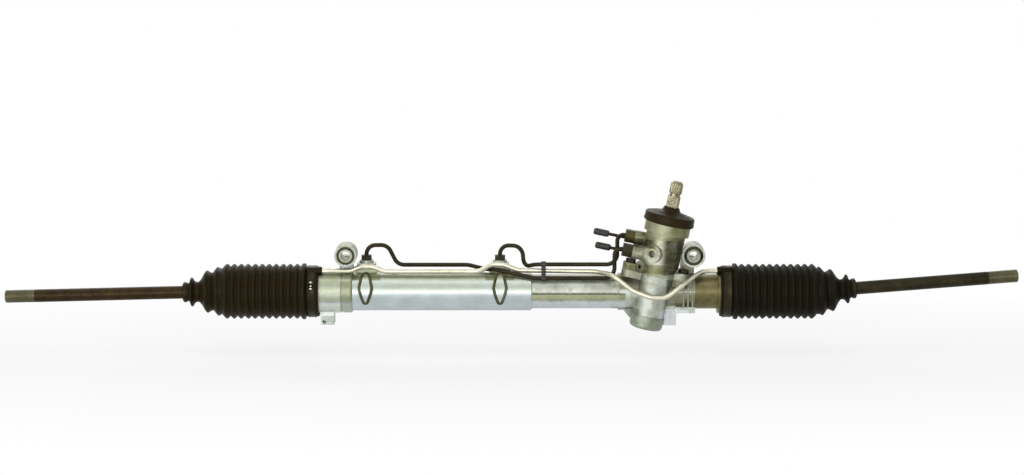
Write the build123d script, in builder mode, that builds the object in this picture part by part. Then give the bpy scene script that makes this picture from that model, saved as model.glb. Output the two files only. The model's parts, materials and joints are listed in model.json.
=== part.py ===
from build123d import *
from math import atan2, cos, degrees, pi, radians, sin, sqrt, tan
import os

# Hydraulic power steering rack, in millimetres.
# +X runs along the rack, -Y is the side with the mounting bush faces, +Z is up.
# The origin is midway between the two mounting bushes, on their front faces.

# ---- driving dimensions: mounting ----
bush_spacing = 390.0
rack_drop = 43.5            # bush centres above the rack axis
rack_setback = 20.0         # rack axis behind the bush front faces
bolt_hole_r = 5.25
bush_sleeve_r = 7.5
left_bush_r = 10.2
left_boss_r = 12.5
right_bush_r = 10.9
right_boss_r = 13.2
boss_depth = 25.0
sleeve_proud = 1.0          # the steel sleeves stand proud of the boss faces

# ---- driving dimensions: rack and cylinder ----
rack_r = 13.0
rack_half_length = 292.0
rack_stub_r = 8.0
rack_stub_length = 14.0
cylinder_r = 21.5
cylinder_bore_r = 18.5
cylinder_inset = 7.0        # cylinder starts inboard of the left bush
narrow_length = 98.0        # from the cylinder to the gear section
left_port_inset = 15.0      # port axes inboard of the cylinder's ends
right_port_inset = 35.0
port_setback = 10.0         # port axis behind the rack axis
port_top = 34.5             # port boss face above the rack axis
port_bore_r = 3.0
piston_width = 14.0
piston_ring_width = 5.0
piston_ring_depth = 2.0
seal_length = 11.0

# ---- driving dimensions: housing ----
left_end_r = 24.0
end_reach = 31.0            # stop faces of both ends outboard of the bushes
stop_gap = 2.0              # ball joint to stop face at full travel
spigot_r = 23.5
spigot_length = 14.0
spigot_pocket_r = 18.6
narrow_r = 19.3
gear_left_reach = 38.5      # gear section left of the tower
gear_right_reach = 2.0      # gear section outboard of the right bush
gear_r = 21.0
rack_bore_r = 14.6
end_sleeve_r = 19.5
end_sleeve_rim_r = 24.5
end_sleeve_rim = 3.0

# ---- driving dimensions: pinion tower ----
tower_inset = 45.5          # tower axis inboard of the right bush
tower_lean = 12.0           # degrees from upright, top towards +X
tooth_module = 1.8
pinion_teeth = 8
pressure_angle = 25.0
backlash = 0.12
rack_addendum = 1.2
root_clearance = 0.4
pitch_offset = 8.8          # rack pitch plane in front of the rack axis
face_half = 14.5
journal_r = 6.5
thread_r = 5.0
tower_r = 18.0
tower_bottom = -24.5
tower_top = 22.0
lower_bearing_r = 13.0
lower_bearing_width = 9.0
upper_bearing_r = 11.0
cap_depth = 15.0
cap_r = 18.6
valve_low_r = 20.0
valve_r = 22.0
valve_step = 36.0
valve_flange_r = 25.5
valve_flange = 71.0
valve_top = 83.0
valve_bore_r = 15.05
shaft_seat_r = 12.0
sleeve_low = 36.0
sleeve_high = 70.5
spool_r = 9.4
input_r = 6.8
input_top = 130.0
input_groove = 115.0
dust_cap_r = 28.0
dust_cap_skirt = 9.0
dust_cap_top = 96.0
torsion_bar_r = 2.2
bar_low = 10.2
bar_high = 114.2
spool_low = 40.6
left_ear = -32.0
right_ear = 28.5
ear_r = 8.0
ear_height = 8.0
bolt_r = 3.0

# ---- driving dimensions: yoke ----
yoke_r = 14.0
yoke_front = 3.0
yoke_back = 24.0
yoke_boss_r = 20.0
yoke_boss_back = 34.0
adjuster_r = 16.0
adjuster_front = 26.5
adjuster_back = 40.0
locknut_width = 40.0
locknut_height = 6.0
spring_r = 5.5
spring_wire_r = 0.9
spring_turns = 4

# ---- driving dimensions: tie rods and bellows ----
ball_reach = 43.0           # ball centre beyond the end of the rack's full diameter
ball_r = 13.0
ball_housing_r = 17.0
ball_pocket_r = 15.2
ball_housing_nose = 10.0    # housing beyond the ball centre
rod_r = 7.25
rod_neck_r = 6.5
rod_thread_r = 7.0
rod_thread_length = 34.0
left_rod_length = 246.0
right_rod_length = 228.0
left_rod_tilt = -1.4        # degrees, tip up is positive
right_rod_tilt = 4.5
bellows_wall = 1.6
bellows_crest_r = 31.0
bellows_valley_r = 27.0
bellows_lip_r = 31.6
bellows_collar_r = 28.5
bellows_collar = 15.0
bellows_crests = 11
lip_run = 7.1               # from the last crest's valley to the lip
seam_r = 26.0               # spherical valley round the ball centre
neck_r = 10.5
neck_length = 45.0
clamp_band = 9.0
clamp_thickness = 0.9

# ---- driving dimensions: pipes ----
pipe_r = 2.38
pipe_bore_r = 1.6
pipe_bend = 12.0
bend_share = 0.45           # most of a run that the bend at either end may use
first_bend_share = 0.6      # the same for the first run, which has one bend
balance_r = 2.75
balance_bore_r = 1.9
balance_bend = 16.0
nipple_r = 4.6

# ---- clearances ----
running = 0.05
press = 0.02
loose = 0.3

# ---- worked out ----
rack_y = rack_setback
rack_z = -rack_drop
lean = radians(tower_lean)
pitch_r = tooth_module * pinion_teeth / 2
tower_y = rack_y - pitch_offset - pitch_r
left_bush_x = -bush_spacing / 2
right_bush_x = bush_spacing / 2
housing_end = bush_spacing / 2 + end_reach
tower_x = right_bush_x - tower_inset
gear_left = tower_x - gear_left_reach
gear_right = right_bush_x + gear_right_reach
cylinder_left = left_bush_x + cylinder_inset
cylinder_right = gear_left - narrow_length
left_port_x = cylinder_left + left_port_inset
right_port_x = cylinder_right - right_port_inset
travel = rack_half_length - housing_end - stop_gap
ball_centre = rack_half_length + ball_reach
bellows_end = housing_end
os.makedirs("parts", exist_ok=True)


def keep(builder, name):
    """Label a finished piece and write it as its own node."""
    builder.part.label = name
    export_step(builder.part, f"parts/{name}.step")


def station(x):
    """Plane across the rack at x: local x is +Y, local y is +Z, normal +X."""
    return Plane(origin=(x, rack_y, rack_z), x_dir=(0, 1, 0), z_dir=(1, 0, 0))


def front_plane(x, y, z):
    """Plane that faces the bush side (-Y), with local x along +X and local y along +Z."""
    return Plane(origin=(x, y, z), x_dir=(1, 0, 0), z_dir=(0, -1, 0))


def tower_point(x, y, s):
    """Point at x to the right, y behind and s along the tower axis, from the rack's height."""
    across = x * cos(lean) + s * sin(lean)
    return (tower_x + across, tower_y + y, rack_z - x * sin(lean) + s * cos(lean))


def tower_plane(s, x=0.0):
    """Plane across the tower at height s: local x to the right, local y to the rear."""
    return Plane(
        origin=tower_point(x, 0, s),
        x_dir=(cos(lean), 0, -sin(lean)),
        z_dir=(sin(lean), 0, cos(lean)),
    )


def radial_plane(angle, distance, s):
    """Plane that faces away from the tower axis: angle in degrees from the front to the left."""
    turn = radians(angle)
    x, y = -sin(turn), -cos(turn)
    return Plane(
        origin=tower_point(distance * x, distance * y, s),
        x_dir=(sin(lean), 0, cos(lean)),
        z_dir=(x * cos(lean), y, -x * sin(lean)),
    )


def disc(plane, radius, length, bore=0.0, mode=Mode.ADD):
    """Round bar or ring that grows from the plane along its normal."""
    with BuildSketch(plane) as outline:
        Circle(radius)
        if bore > 0:
            Circle(bore, mode=Mode.SUBTRACT)
    extrude(outline.sketch, amount=length, mode=mode)


def hexagon(plane, width, length, bore=0.0):
    """Hexagonal bar or nut, width across flats."""
    with BuildSketch(plane) as outline:
        RegularPolygon(width / 2, 6, major_radius=False)
        if bore > 0:
            Circle(bore, mode=Mode.SUBTRACT)
    extrude(outline.sketch, amount=length)


def block(low, high, mode=Mode.ADD):
    """Straight block between two corners, measured from the rack axis in Y and Z."""
    middle = [(a + b) / 2 for a, b in zip(low, high)]
    with Locations((middle[0], rack_y + middle[1], rack_z + middle[2])):
        Box(*[b - a for a, b in zip(low, high)], mode=mode)


def eared_flange(plane, length, grow=0.0, mode=Mode.ADD):
    """Round flange with a bolting ear on each side of the tower."""
    with BuildSketch(plane) as outline:
        Circle(valve_low_r + grow)
        with Locations((left_ear, 0), (right_ear, 0)):
            Circle(ear_r + grow)
        with Locations(((left_ear + right_ear) / 2, 0)):
            Rectangle(right_ear - left_ear, 2 * (ear_r + grow))
    extrude(outline.sketch, amount=length, mode=mode)


def bent_tube(route, outer, inner, bend):
    """Tube through a route measured from the rack axis, with straight runs and tangent arcs."""
    points = [Vector(x, rack_y + y, rack_z + z) for x, y, z in route]
    runs = [b - a for a, b in zip(points, points[1:])]
    room = [bend_share * run.length for run in runs]
    room[0] = first_bend_share * runs[0].length
    radii = []
    for index, (before, after) in enumerate(zip(runs, runs[1:])):
        half_turn = radians(before.get_angle(after)) / 2
        radii.append(min(bend, min(room[index], room[index + 1]) / tan(half_turn)))
    with BuildPart() as tube:
        with BuildLine() as path:
            FilletPolyline(*points, radius=radii)
        with BuildSketch(Plane(origin=path.line @ 0, z_dir=path.line % 0)):
            Circle(outer)
            Circle(inner, mode=Mode.SUBTRACT)
        sweep(path=path.line)
    expected = pi * (outer**2 - inner**2) * path.wire().length
    print(f"tube volume {tube.part.volume:.0f}, section x length {expected:.0f}")
    return tube


# ---------------------------------------------------------------- housing
neck_depth = 17.0


def bush_boss(x, radius, bore, neck_left, neck_right, neck_low):
    """Mounting boss with its neck down to the housing, in the current part."""
    disc(front_plane(x, boss_depth + sleeve_proud, 0), radius, boss_depth)
    block((neck_left, 0, neck_low), (neck_right, neck_depth, rack_drop - 4))
    full_depth = boss_depth + 2 * sleeve_proud
    disc(front_plane(x, full_depth, 0), bore, full_depth, mode=Mode.SUBTRACT)


lug_x = 6.0 - housing_end
lug_drop = 33.0
lug_hole_r = 2.0

with BuildPart() as left_end_housing:
    disc(station(-housing_end), left_end_r, housing_end + cylinder_left)
    shoulder = left_end_housing.edges().filter_by(GeomType.CIRCLE).sort_by(Axis.X)[-1]
    fillet(shoulder, 2.2)
    disc(station(-housing_end - spigot_length), spigot_r, spigot_length)
    groove = station(cylinder_left - 12.5)
    disc(groove, left_end_r + 1, 2.2, bore=left_end_r - 1.1, mode=Mode.SUBTRACT)
    bush_boss(left_bush_x, left_boss_r, left_bush_r, left_bush_x - 8, cylinder_left, 12)
    block((lug_x - 4, -10, -36.5), (lug_x + 11, 10, -18))
    disc(station(-housing_end - spigot_length), spigot_pocket_r, spigot_length, mode=Mode.SUBTRACT)
    disc(station(-housing_end), rack_bore_r, housing_end + cylinder_left, mode=Mode.SUBTRACT)
    disc(station(-housing_end + 4), 16.0, 16.0, mode=Mode.SUBTRACT)
    disc(station(cylinder_left - 12), cylinder_r + press, 12, mode=Mode.SUBTRACT)
    disc(front_plane(lug_x, rack_y + 11, rack_z - lug_drop), lug_hole_r, 22, mode=Mode.SUBTRACT)
keep(left_end_housing, "left_end_housing")

with BuildPart() as rack_bushing:
    disc(station(-housing_end + 4), 16.0, 15.8, bore=rack_r + running)
keep(rack_bushing, "rack_bushing")


def teardrop_pad(x):
    """Raised teardrop on the front of the cylinder, below a port."""
    pad_r = cylinder_r + 1.6
    with BuildPart() as pad:
        disc(station(x - 10), pad_r, 20)
        with BuildSketch(front_plane(x, rack_y, rack_z)) as outline:
            with BuildLine():
                right_side = ((2.2, -10), (6.6, 4), (6.6, 10), (3.6, 21))
                left_side = [(-u, v) for u, v in reversed(right_side)]
                Polyline(*right_side, *left_side, close=True)
            make_face()
            fillet(outline.vertices(), 1.6)
        extrude(outline.sketch, amount=pad_r + 1, mode=Mode.INTERSECT)
    return pad.part


def port_boss(x):
    """Port block on top of the cylinder, in the current part."""
    block((x - 12.5, port_setback - 7.5, 6), (x + 12.5, port_setback + 8, 26))
    block((x - 10.5, port_setback - 8, 20), (x + 10.5, port_setback + 8, port_top - 3))
    disc(Plane(origin=(x, rack_y + port_setback, rack_z + 20)), 8.0, port_top - 20)


with BuildPart() as cylinder_tube:
    disc(station(cylinder_left - 12), cylinder_r, cylinder_right - cylinder_left + 12)
    for port_x in (left_port_x, right_port_x):
        port_boss(port_x)
        add(teardrop_pad(port_x))
    bore_length = cylinder_right - cylinder_left + 14
    disc(station(cylinder_left - 13), cylinder_bore_r, bore_length, mode=Mode.SUBTRACT)
    for port_x in (left_port_x, right_port_x):
        port_floor = Plane(origin=(port_x, rack_y + port_setback, rack_z + 8))
        disc(port_floor, port_bore_r, port_top, mode=Mode.SUBTRACT)
keep(cylinder_tube, "cylinder_tube")

with BuildPart() as left_rack_seal:
    disc(station(cylinder_left - 4), cylinder_bore_r - press, seal_length, bore=rack_r + running)
keep(left_rack_seal, "left_rack_seal")

bulkhead = cylinder_right - 15
with BuildPart() as inner_rack_seal:
    disc(station(bulkhead - seal_length), cylinder_bore_r - press, seal_length, bore=rack_r + running)
keep(inner_rack_seal, "inner_rack_seal")

sleeve_seat = 18.0
sleeve_seat_r = 17.2

with BuildPart() as gear_housing:
    disc(station(bulkhead), cylinder_bore_r - press, 15.5)
    disc(station(cylinder_right), narrow_r, gear_left - cylinder_right)
    disc(station(gear_left), gear_r, gear_right - gear_left)
    disc(station(gear_right), sleeve_seat_r, sleeve_seat)
    # cast rib along the front of the narrow tube
    block((cylinder_right, -narrow_r - 0.8, -5.5), (gear_left + 10, -narrow_r + 4, -1.5))
    # pinion tower with its bolting flange
    disc(tower_plane(tower_bottom), tower_r, tower_top - tower_bottom)
    eared_flange(tower_plane(tower_top - ear_height), ear_height)
    # yoke boss at the rear
    disc(front_plane(tower_x, rack_y + yoke_boss_back, rack_z), yoke_boss_r, yoke_boss_back)
    # gusset, feet and ribs of the casting
    with BuildSketch(front_plane(0, rack_y + 6, rack_z)) as web:
        with BuildLine():
            Polyline(
                (gear_left - 2, -10),
                (gear_left + 18, -34),
                (gear_left + 40, -34),
                (gear_left + 40, -10),
                close=True,
            )
        make_face()
    extrude(web.sketch, amount=16)
    block((tower_x + 8.5, -16, -36), (tower_x + 26.5, 8, -8))
    block((tower_x + 24.5, -21.5, -21), (gear_right, 4, -14.5))
    for rib_inset in (13, 8, 3):
        rib_x = gear_right - rib_inset
        block((rib_x - 0.9, -22.6, -14), (rib_x + 0.9, -8, 9))
    # right mounting boss
    bush_boss(right_bush_x, right_boss_r, right_bush_r, right_bush_x - 13, gear_right, 10)
    block((tower_x + 13.5, -2, 6), (gear_right - 7, 14, 24))
    # room for the valve housing and for the bottom cap
    disc(tower_plane(tower_top), valve_r + loose, 60, mode=Mode.SUBTRACT)
    eared_flange(tower_plane(tower_top), 2 * ear_height, grow=loose, mode=Mode.SUBTRACT)
    disc(tower_plane(tower_bottom - cap_depth - 5), cap_r + loose, cap_depth + 5, mode=Mode.SUBTRACT)
    # bores
    disc(station(bulkhead - 1), rack_bore_r, gear_right + sleeve_seat - bulkhead + 2, mode=Mode.SUBTRACT)
    below = tower_plane(tower_bottom - 1)
    disc(below, lower_bearing_r + press, lower_bearing_width + 1, mode=Mode.SUBTRACT)
    disc(tower_plane(tower_bottom), 10.2, 40, mode=Mode.SUBTRACT)
    disc(tower_plane(15.2), upper_bearing_r + press, 30, mode=Mode.SUBTRACT)
    yoke_bore = front_plane(tower_x, rack_y + adjuster_front, rack_z)
    disc(yoke_bore, yoke_r + running, adjuster_front, mode=Mode.SUBTRACT)
    adjuster_bore = front_plane(tower_x, rack_y + yoke_boss_back + 1, rack_z)
    adjuster_run = yoke_boss_back - adjuster_front + 2
    disc(adjuster_bore, adjuster_r + running, adjuster_run, mode=Mode.SUBTRACT)
    for ear_x in (left_ear, right_ear):
        ear_floor = tower_plane(tower_top - ear_height - 3, ear_x)
        disc(ear_floor, bolt_r + press, ear_height + 4, mode=Mode.SUBTRACT)
keep(gear_housing, "gear_housing")

with BuildPart() as right_end_sleeve:
    disc(station(gear_right), end_sleeve_r, housing_end - gear_right)
    disc(station(housing_end - end_sleeve_rim), end_sleeve_rim_r, end_sleeve_rim)
    disc(station(housing_end), spigot_r, spigot_length)
    disc(station(gear_right), rack_bore_r, housing_end - gear_right, mode=Mode.SUBTRACT)
    disc(station(gear_right), sleeve_seat_r + press, sleeve_seat, mode=Mode.SUBTRACT)
    disc(station(housing_end), spigot_pocket_r, spigot_length, mode=Mode.SUBTRACT)
keep(right_end_sleeve, "right_end_sleeve")

# ---------------------------------------------------------------- mounting bushes
for side, bush_x, bush_r in (("left", left_bush_x, left_bush_r), ("right", right_bush_x, right_bush_r)):
    with BuildPart() as bush_sleeve:
        sleeve_length = boss_depth + 2 * sleeve_proud
        disc(front_plane(bush_x, sleeve_length, 0), bush_sleeve_r, sleeve_length, bore=bolt_hole_r)
    keep(bush_sleeve, f"{side}_bush_sleeve")
    with BuildPart() as bush_rubber:
        rear = front_plane(bush_x, boss_depth + 0.5 * sleeve_proud, 0)
        disc(rear, bush_r, boss_depth - sleeve_proud, bore=bush_sleeve_r)
        if side == "right":
            with BuildSketch(rear) as voids:
                with Locations((-9.2, 0), (9.2, 0)):
                    SlotOverall(7, 1.8, rotation=90)
            extrude(voids.sketch, amount=boss_depth, mode=Mode.SUBTRACT)
    keep(bush_rubber, f"{side}_bush_rubber")

# ---------------------------------------------------------------- valve housing
pressure_turn = 28.0        # degrees from the front to the left
pressure_s = 47.5
pressure_boss_r = 10.0
pressure_bore_r = 4.0
return_turn = 56.0
return_s = 29.5
return_boss_r = 7.0
return_bore_r = 2.8
port_reach = 27.5
port_depth = 10.0
nut_seat = 33.0
upper_nut_s = 58.0
upper_nut_y = 6.0
lower_nut_s = 42.6
lower_nut_y = 0.5
nut_boss_r = 8.0
stub_y = 16.0
upper_stub_s = 54.0
lower_stub_s = 39.0


def left_plane(distance, y, s):
    """Plane on the tower's left side that faces left."""
    return Plane(
        origin=tower_point(-distance, y, s),
        x_dir=(0, 1, 0),
        z_dir=(-cos(lean), 0, sin(lean)),
    )


with BuildPart() as valve_housing:
    eared_flange(tower_plane(tower_top), ear_height)
    disc(tower_plane(tower_top), valve_low_r, valve_step - tower_top)
    disc(tower_plane(valve_step - 3), valve_r, valve_flange - valve_step + 4)
    disc(tower_plane(valve_flange), valve_flange_r, valve_top - valve_flange)
    disc(radial_plane(pressure_turn, 14, pressure_s), pressure_boss_r, port_reach - 14)
    disc(radial_plane(return_turn, 12, return_s), return_boss_r, port_reach - 12)
    for nut_y, nut_s in ((upper_nut_y, upper_nut_s), (lower_nut_y, lower_nut_s)):
        disc(left_plane(12, nut_y, nut_s), nut_boss_r, nut_seat - 12)
    for stub_s in (upper_stub_s, lower_stub_s):
        disc(left_plane(10, stub_y, stub_s), 5.5, 16)
    disc(tower_plane(tower_top), upper_bearing_r + press, 12.2, mode=Mode.SUBTRACT)
    disc(tower_plane(tower_top + 12), valve_bore_r, sleeve_high - tower_top - 11.5, mode=Mode.SUBTRACT)
    disc(tower_plane(sleeve_high - 0.5), shaft_seat_r, 14, mode=Mode.SUBTRACT)
    pressure_floor = radial_plane(pressure_turn, port_reach - port_depth, pressure_s)
    disc(pressure_floor, pressure_bore_r, port_depth, mode=Mode.SUBTRACT)
    return_floor = radial_plane(return_turn, port_reach - port_depth, return_s)
    disc(return_floor, return_bore_r, port_depth, mode=Mode.SUBTRACT)
    for ear_x in (left_ear, right_ear):
        disc(tower_plane(tower_top, ear_x), bolt_r + press, ear_height, mode=Mode.SUBTRACT)
    for nut_y, nut_s in ((upper_nut_y, upper_nut_s), (lower_nut_y, lower_nut_s)):
        disc(left_plane(nut_seat - 8, nut_y, nut_s), 5.0, 8, mode=Mode.SUBTRACT)
    for stub_s in (upper_stub_s, lower_stub_s):
        disc(left_plane(20, stub_y, stub_s), 1.8 + running, 14, mode=Mode.SUBTRACT)
keep(valve_housing, "valve_housing")

with BuildPart() as valve_bolts:
    for ear_x in (left_ear, right_ear):
        hexagon(tower_plane(tower_top + ear_height, ear_x), 10, 4.2)
        disc(tower_plane(tower_top - ear_height - 2, ear_x), bolt_r, 2 * ear_height + 2)
keep(valve_bolts, "valve_bolts")

with BuildPart() as bottom_cap:
    disc(tower_plane(tower_bottom - cap_depth), cap_r, cap_depth)
    fillet(bottom_cap.edges().filter_by(GeomType.CIRCLE).sort_by(Axis.Z)[0], 4.0)
    disc(tower_plane(tower_bottom - cap_depth + 5), 11.0, cap_depth, mode=Mode.SUBTRACT)
keep(bottom_cap, "bottom_cap")

with BuildPart() as dust_cap:
    with BuildSketch(tower_plane(valve_top)) as rim:
        Circle(dust_cap_r)
    extrude(rim.sketch, amount=dust_cap_skirt)
    with BuildSketch(tower_plane(valve_top + dust_cap_skirt)) as low:
        Circle(dust_cap_r)
    extrude(low.sketch, amount=dust_cap_top - valve_top - dust_cap_skirt, taper=70)
    disc(tower_plane(valve_top), 12.5, 6, mode=Mode.SUBTRACT)
    disc(tower_plane(valve_top), input_r + loose, 30, mode=Mode.SUBTRACT)
keep(dust_cap, "dust_cap")

with BuildPart() as lower_bearing:
    disc(tower_plane(tower_bottom), lower_bearing_r, lower_bearing_width - 0.3, bore=journal_r + running)
keep(lower_bearing, "lower_bearing")

with BuildPart() as upper_bearing:
    disc(tower_plane(15.4), upper_bearing_r, 6.4, bore=journal_r + running)
keep(upper_bearing, "upper_bearing")

with BuildPart() as pinion_seal:
    disc(tower_plane(tower_top + 1), upper_bearing_r, 8, bore=journal_r + running)
keep(pinion_seal, "pinion_seal")

with BuildPart() as shaft_bearing:
    disc(tower_plane(sleeve_high + 2), shaft_seat_r - press, 5, bore=input_r + running)
keep(shaft_bearing, "shaft_bearing")

with BuildPart() as shaft_seal:
    disc(tower_plane(valve_top - 5), shaft_seat_r - press, 5, bore=input_r + running)
keep(shaft_seal, "shaft_seal")

# ---------------------------------------------------------------- yoke
with BuildPart() as yoke:
    disc(front_plane(tower_x, rack_y + yoke_back, rack_z), yoke_r, yoke_back - yoke_front)
    disc(station(tower_x - yoke_r - 1), rack_r + running, 2 * yoke_r + 2, mode=Mode.SUBTRACT)
    disc(front_plane(tower_x, rack_y + yoke_back, rack_z), 8.5, 7, mode=Mode.SUBTRACT)
keep(yoke, "yoke")

with BuildPart() as yoke_adjuster:
    disc(front_plane(tower_x, rack_y + adjuster_back, rack_z), adjuster_r, adjuster_back - adjuster_front)
    disc(front_plane(tower_x, rack_y + adjuster_front + 5, rack_z), 8.5, 5, mode=Mode.SUBTRACT)
    with BuildSketch(front_plane(tower_x, rack_y + adjuster_back, rack_z)) as socket:
        RegularPolygon(8.5, 6, major_radius=False)
    extrude(socket.sketch, amount=5, mode=Mode.SUBTRACT)
keep(yoke_adjuster, "yoke_adjuster")

with BuildPart() as yoke_locknut:
    locknut_face = front_plane(tower_x, rack_y + yoke_boss_back + locknut_height, rack_z)
    hexagon(locknut_face, locknut_width, locknut_height, bore=adjuster_r)
keep(yoke_locknut, "yoke_locknut")

spring_room = adjuster_front + 5 - (yoke_back - 7)
with BuildPart() as yoke_spring:
    rise = spring_room - 2 * spring_wire_r - 0.1
    with BuildLine() as coil:
        Helix(
            pitch=rise / spring_turns,
            height=rise,
            radius=spring_r,
            center=(tower_x, rack_y + yoke_back - 7 + spring_wire_r + 0.05, rack_z),
            direction=(0, 1, 0),
        )
    with BuildSketch(Plane(origin=coil.line @ 0, z_dir=coil.line % 0)):
        Circle(spring_wire_r)
    sweep(path=coil.line, is_frenet=True)
keep(yoke_spring, "yoke_spring")

# ---------------------------------------------------------------- rack
tooth_pitch = pi * tooth_module
rack_pitch = tooth_pitch / cos(lean)
tooth_reach = travel + 14
slope = tan(radians(pressure_angle))

with BuildPart() as rack_bar:
    disc(station(-rack_half_length), rack_r, 2 * rack_half_length)
    stub_end = rack_half_length + rack_stub_length
    disc(station(-stub_end), rack_stub_r, 2 * stub_end)
    tip_plane = pitch_offset + rack_addendum
    block(
        (tower_x - tooth_reach, -rack_r - 1, -rack_r - 1),
        (tower_x + tooth_reach, -tip_plane, rack_r + 1),
        mode=Mode.SUBTRACT,
    )
    space_count = int(tooth_reach / rack_pitch)
    planes = []
    for index in range(-space_count, space_count + 1):
        across = tower_plane(0)
        centre = (tower_x + index * rack_pitch, tower_y, rack_z)
        planes.append(Plane(origin=centre, x_dir=across.x_dir, z_dir=across.z_dir))
    tooth_floor = pitch_r + tooth_module + root_clearance
    tooth_mouth = pitch_r - rack_addendum - 1
    with BuildSketch(*planes) as spaces:
        with BuildLine():
            floor_half = tooth_pitch / 4 + (pitch_r - tooth_floor) * slope
            mouth_half = tooth_pitch / 4 + (pitch_r - tooth_mouth) * slope
            Polyline(
                (-mouth_half, tooth_mouth),
                (mouth_half, tooth_mouth),
                (floor_half, tooth_floor),
                (-floor_half, tooth_floor),
                close=True,
            )
        make_face()
    extrude(spaces.sketch, amount=rack_r + 3, both=True, mode=Mode.SUBTRACT)
    # piston groove
    piston_x = (left_port_x + right_port_x) / 2
    disc(station(piston_x - piston_width / 2), rack_r, piston_width, bore=rack_r - 1.5, mode=Mode.SUBTRACT)
keep(rack_bar, "rack_bar")

with BuildPart() as piston:
    disc(station(piston_x - piston_width / 2), cylinder_bore_r - 0.08, piston_width, bore=rack_r - 1.5)
    disc(
        station(piston_x - piston_ring_width / 2),
        cylinder_bore_r,
        piston_ring_width,
        bore=cylinder_bore_r - piston_ring_depth,
        mode=Mode.SUBTRACT,
    )
keep(piston, "piston")

with BuildPart() as piston_ring:
    disc(
        station(piston_x - piston_ring_width / 2),
        cylinder_bore_r - 0.04,
        piston_ring_width,
        bore=cylinder_bore_r - piston_ring_depth,
    )
keep(piston_ring, "piston_ring")

# ---------------------------------------------------------------- pinion
base_r = pitch_r * cos(radians(pressure_angle))
tip_r = pitch_r + tooth_module
root_r = pitch_r - rack_addendum - root_clearance


def involute(angle):
    """Involute function of an angle in radians."""
    return tan(angle) - angle


def half_thickness(radius):
    """Half of a pinion tooth's angle at a radius."""
    at_radius = involute(atan2(sqrt(max(0, radius**2 - base_r**2)), base_r))
    at_pitch = pi / (2 * pinion_teeth) - backlash / (2 * pitch_r)
    return at_pitch + involute(radians(pressure_angle)) - at_radius


def polar(radius, angle):
    return (radius * cos(angle), radius * sin(angle))


flank_steps = 5
flank_radii = [base_r + (tip_r - base_r) * (i / flank_steps) ** 1.3 for i in range(flank_steps + 1)]

with BuildPart() as pinion_shaft:
    with BuildSketch(tower_plane(-face_half)) as gear:
        Circle(root_r)
        for index in range(pinion_teeth):
            middle = pi / 2 + index * 2 * pi / pinion_teeth
            rising = [polar(r, middle - half_thickness(r)) for r in flank_radii]
            falling = [polar(r, middle + half_thickness(r)) for r in reversed(flank_radii)]
            with BuildLine():
                first = Spline(*rising)
                ThreePointArc(rising[-1], polar(tip_r, middle), falling[0])
                second = Spline(*falling)
                foot = polar(root_r * 0.8, middle)
                Line(second @ 1, polar(root_r * 0.9, middle + half_thickness(base_r)))
                Line(polar(root_r * 0.9, middle + half_thickness(base_r)), foot)
                Line(foot, polar(root_r * 0.9, middle - half_thickness(base_r)))
                Line(polar(root_r * 0.9, middle - half_thickness(base_r)), first @ 0)
            make_face()
    extrude(gear.sketch, amount=2 * face_half)
    disc(tower_plane(tower_bottom), journal_r, -tower_bottom - face_half)
    disc(tower_plane(tower_bottom - 6.5), thread_r, 7)
    disc(tower_plane(face_half), journal_r, 33.5 - face_half)
    disc(tower_plane(33.0), spool_r, 7)
    disc(tower_plane(bar_low - 0.2), torsion_bar_r, 31, mode=Mode.SUBTRACT)
keep(pinion_shaft, "pinion_shaft")

with BuildPart() as pinion_nut:
    hexagon(tower_plane(tower_bottom - 6), 14, 5.7, bore=thread_r)
keep(pinion_nut, "pinion_nut")

with BuildPart() as valve_sleeve:
    disc(tower_plane(sleeve_low), valve_bore_r - running, sleeve_high - sleeve_low, bore=spool_r + running)
    for groove_s in (44.5, 52.5, 60.5):
        disc(tower_plane(groove_s), valve_bore_r, 3.2, bore=valve_bore_r - 1.6, mode=Mode.SUBTRACT)
keep(valve_sleeve, "valve_sleeve")

with BuildPart() as torsion_bar:
    disc(tower_plane(bar_low), torsion_bar_r, bar_high - bar_low)
keep(torsion_bar, "torsion_bar")

with BuildPart() as input_shaft:
    disc(tower_plane(spool_low), spool_r, sleeve_high + 0.6 - spool_low)
    disc(tower_plane(sleeve_high + 0.5), input_r, input_top - sleeve_high - 0.5)
    chamfer(input_shaft.edges().filter_by(GeomType.CIRCLE).sort_by(Axis.Z)[-1], 2.0)
    disc(tower_plane(input_groove - 1.5), input_r + 1, 3, bore=input_r - 0.8, mode=Mode.SUBTRACT)
    bar_floor = tower_plane(spool_low - 0.6)
    disc(bar_floor, torsion_bar_r + running, bar_high + 1.4 - spool_low, mode=Mode.SUBTRACT)
keep(input_shaft, "input_shaft")

# ---------------------------------------------------------------- ball joints and tie rods


def outboard(side, tilt):
    """Profile plane at a ball centre: local x outboard along the rod, local y up."""
    turn = radians(tilt)
    return Plane(
        origin=(side * ball_centre, rack_y, rack_z),
        x_dir=(side * cos(turn), 0, sin(turn)),
        z_dir=(0, -side, 0),
    )


def cross_plane(side, tilt, distance):
    """Plane across the rod at a distance from the ball centre, facing outboard."""
    turn = radians(tilt)
    along = Vector(side * cos(turn), 0, sin(turn))
    start = Vector(side * ball_centre, rack_y, rack_z) + along * distance
    return Plane(origin=start, x_dir=(0, 1, 0), z_dir=along)


seat_r = ball_r + running
seat_lip = 6.0
seat_depth = ball_r + 1.5
housing_back = ball_centre - rack_half_length
collar_start = ball_centre - bellows_end
collar_stop = collar_start - bellows_collar
bellows_pitch = (collar_stop - lip_run) / bellows_crests
first_crest = 5.0
outer_crest_r = 27.7
middle_crest_r = 23.7
small_crest_r = 16.4


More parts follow.
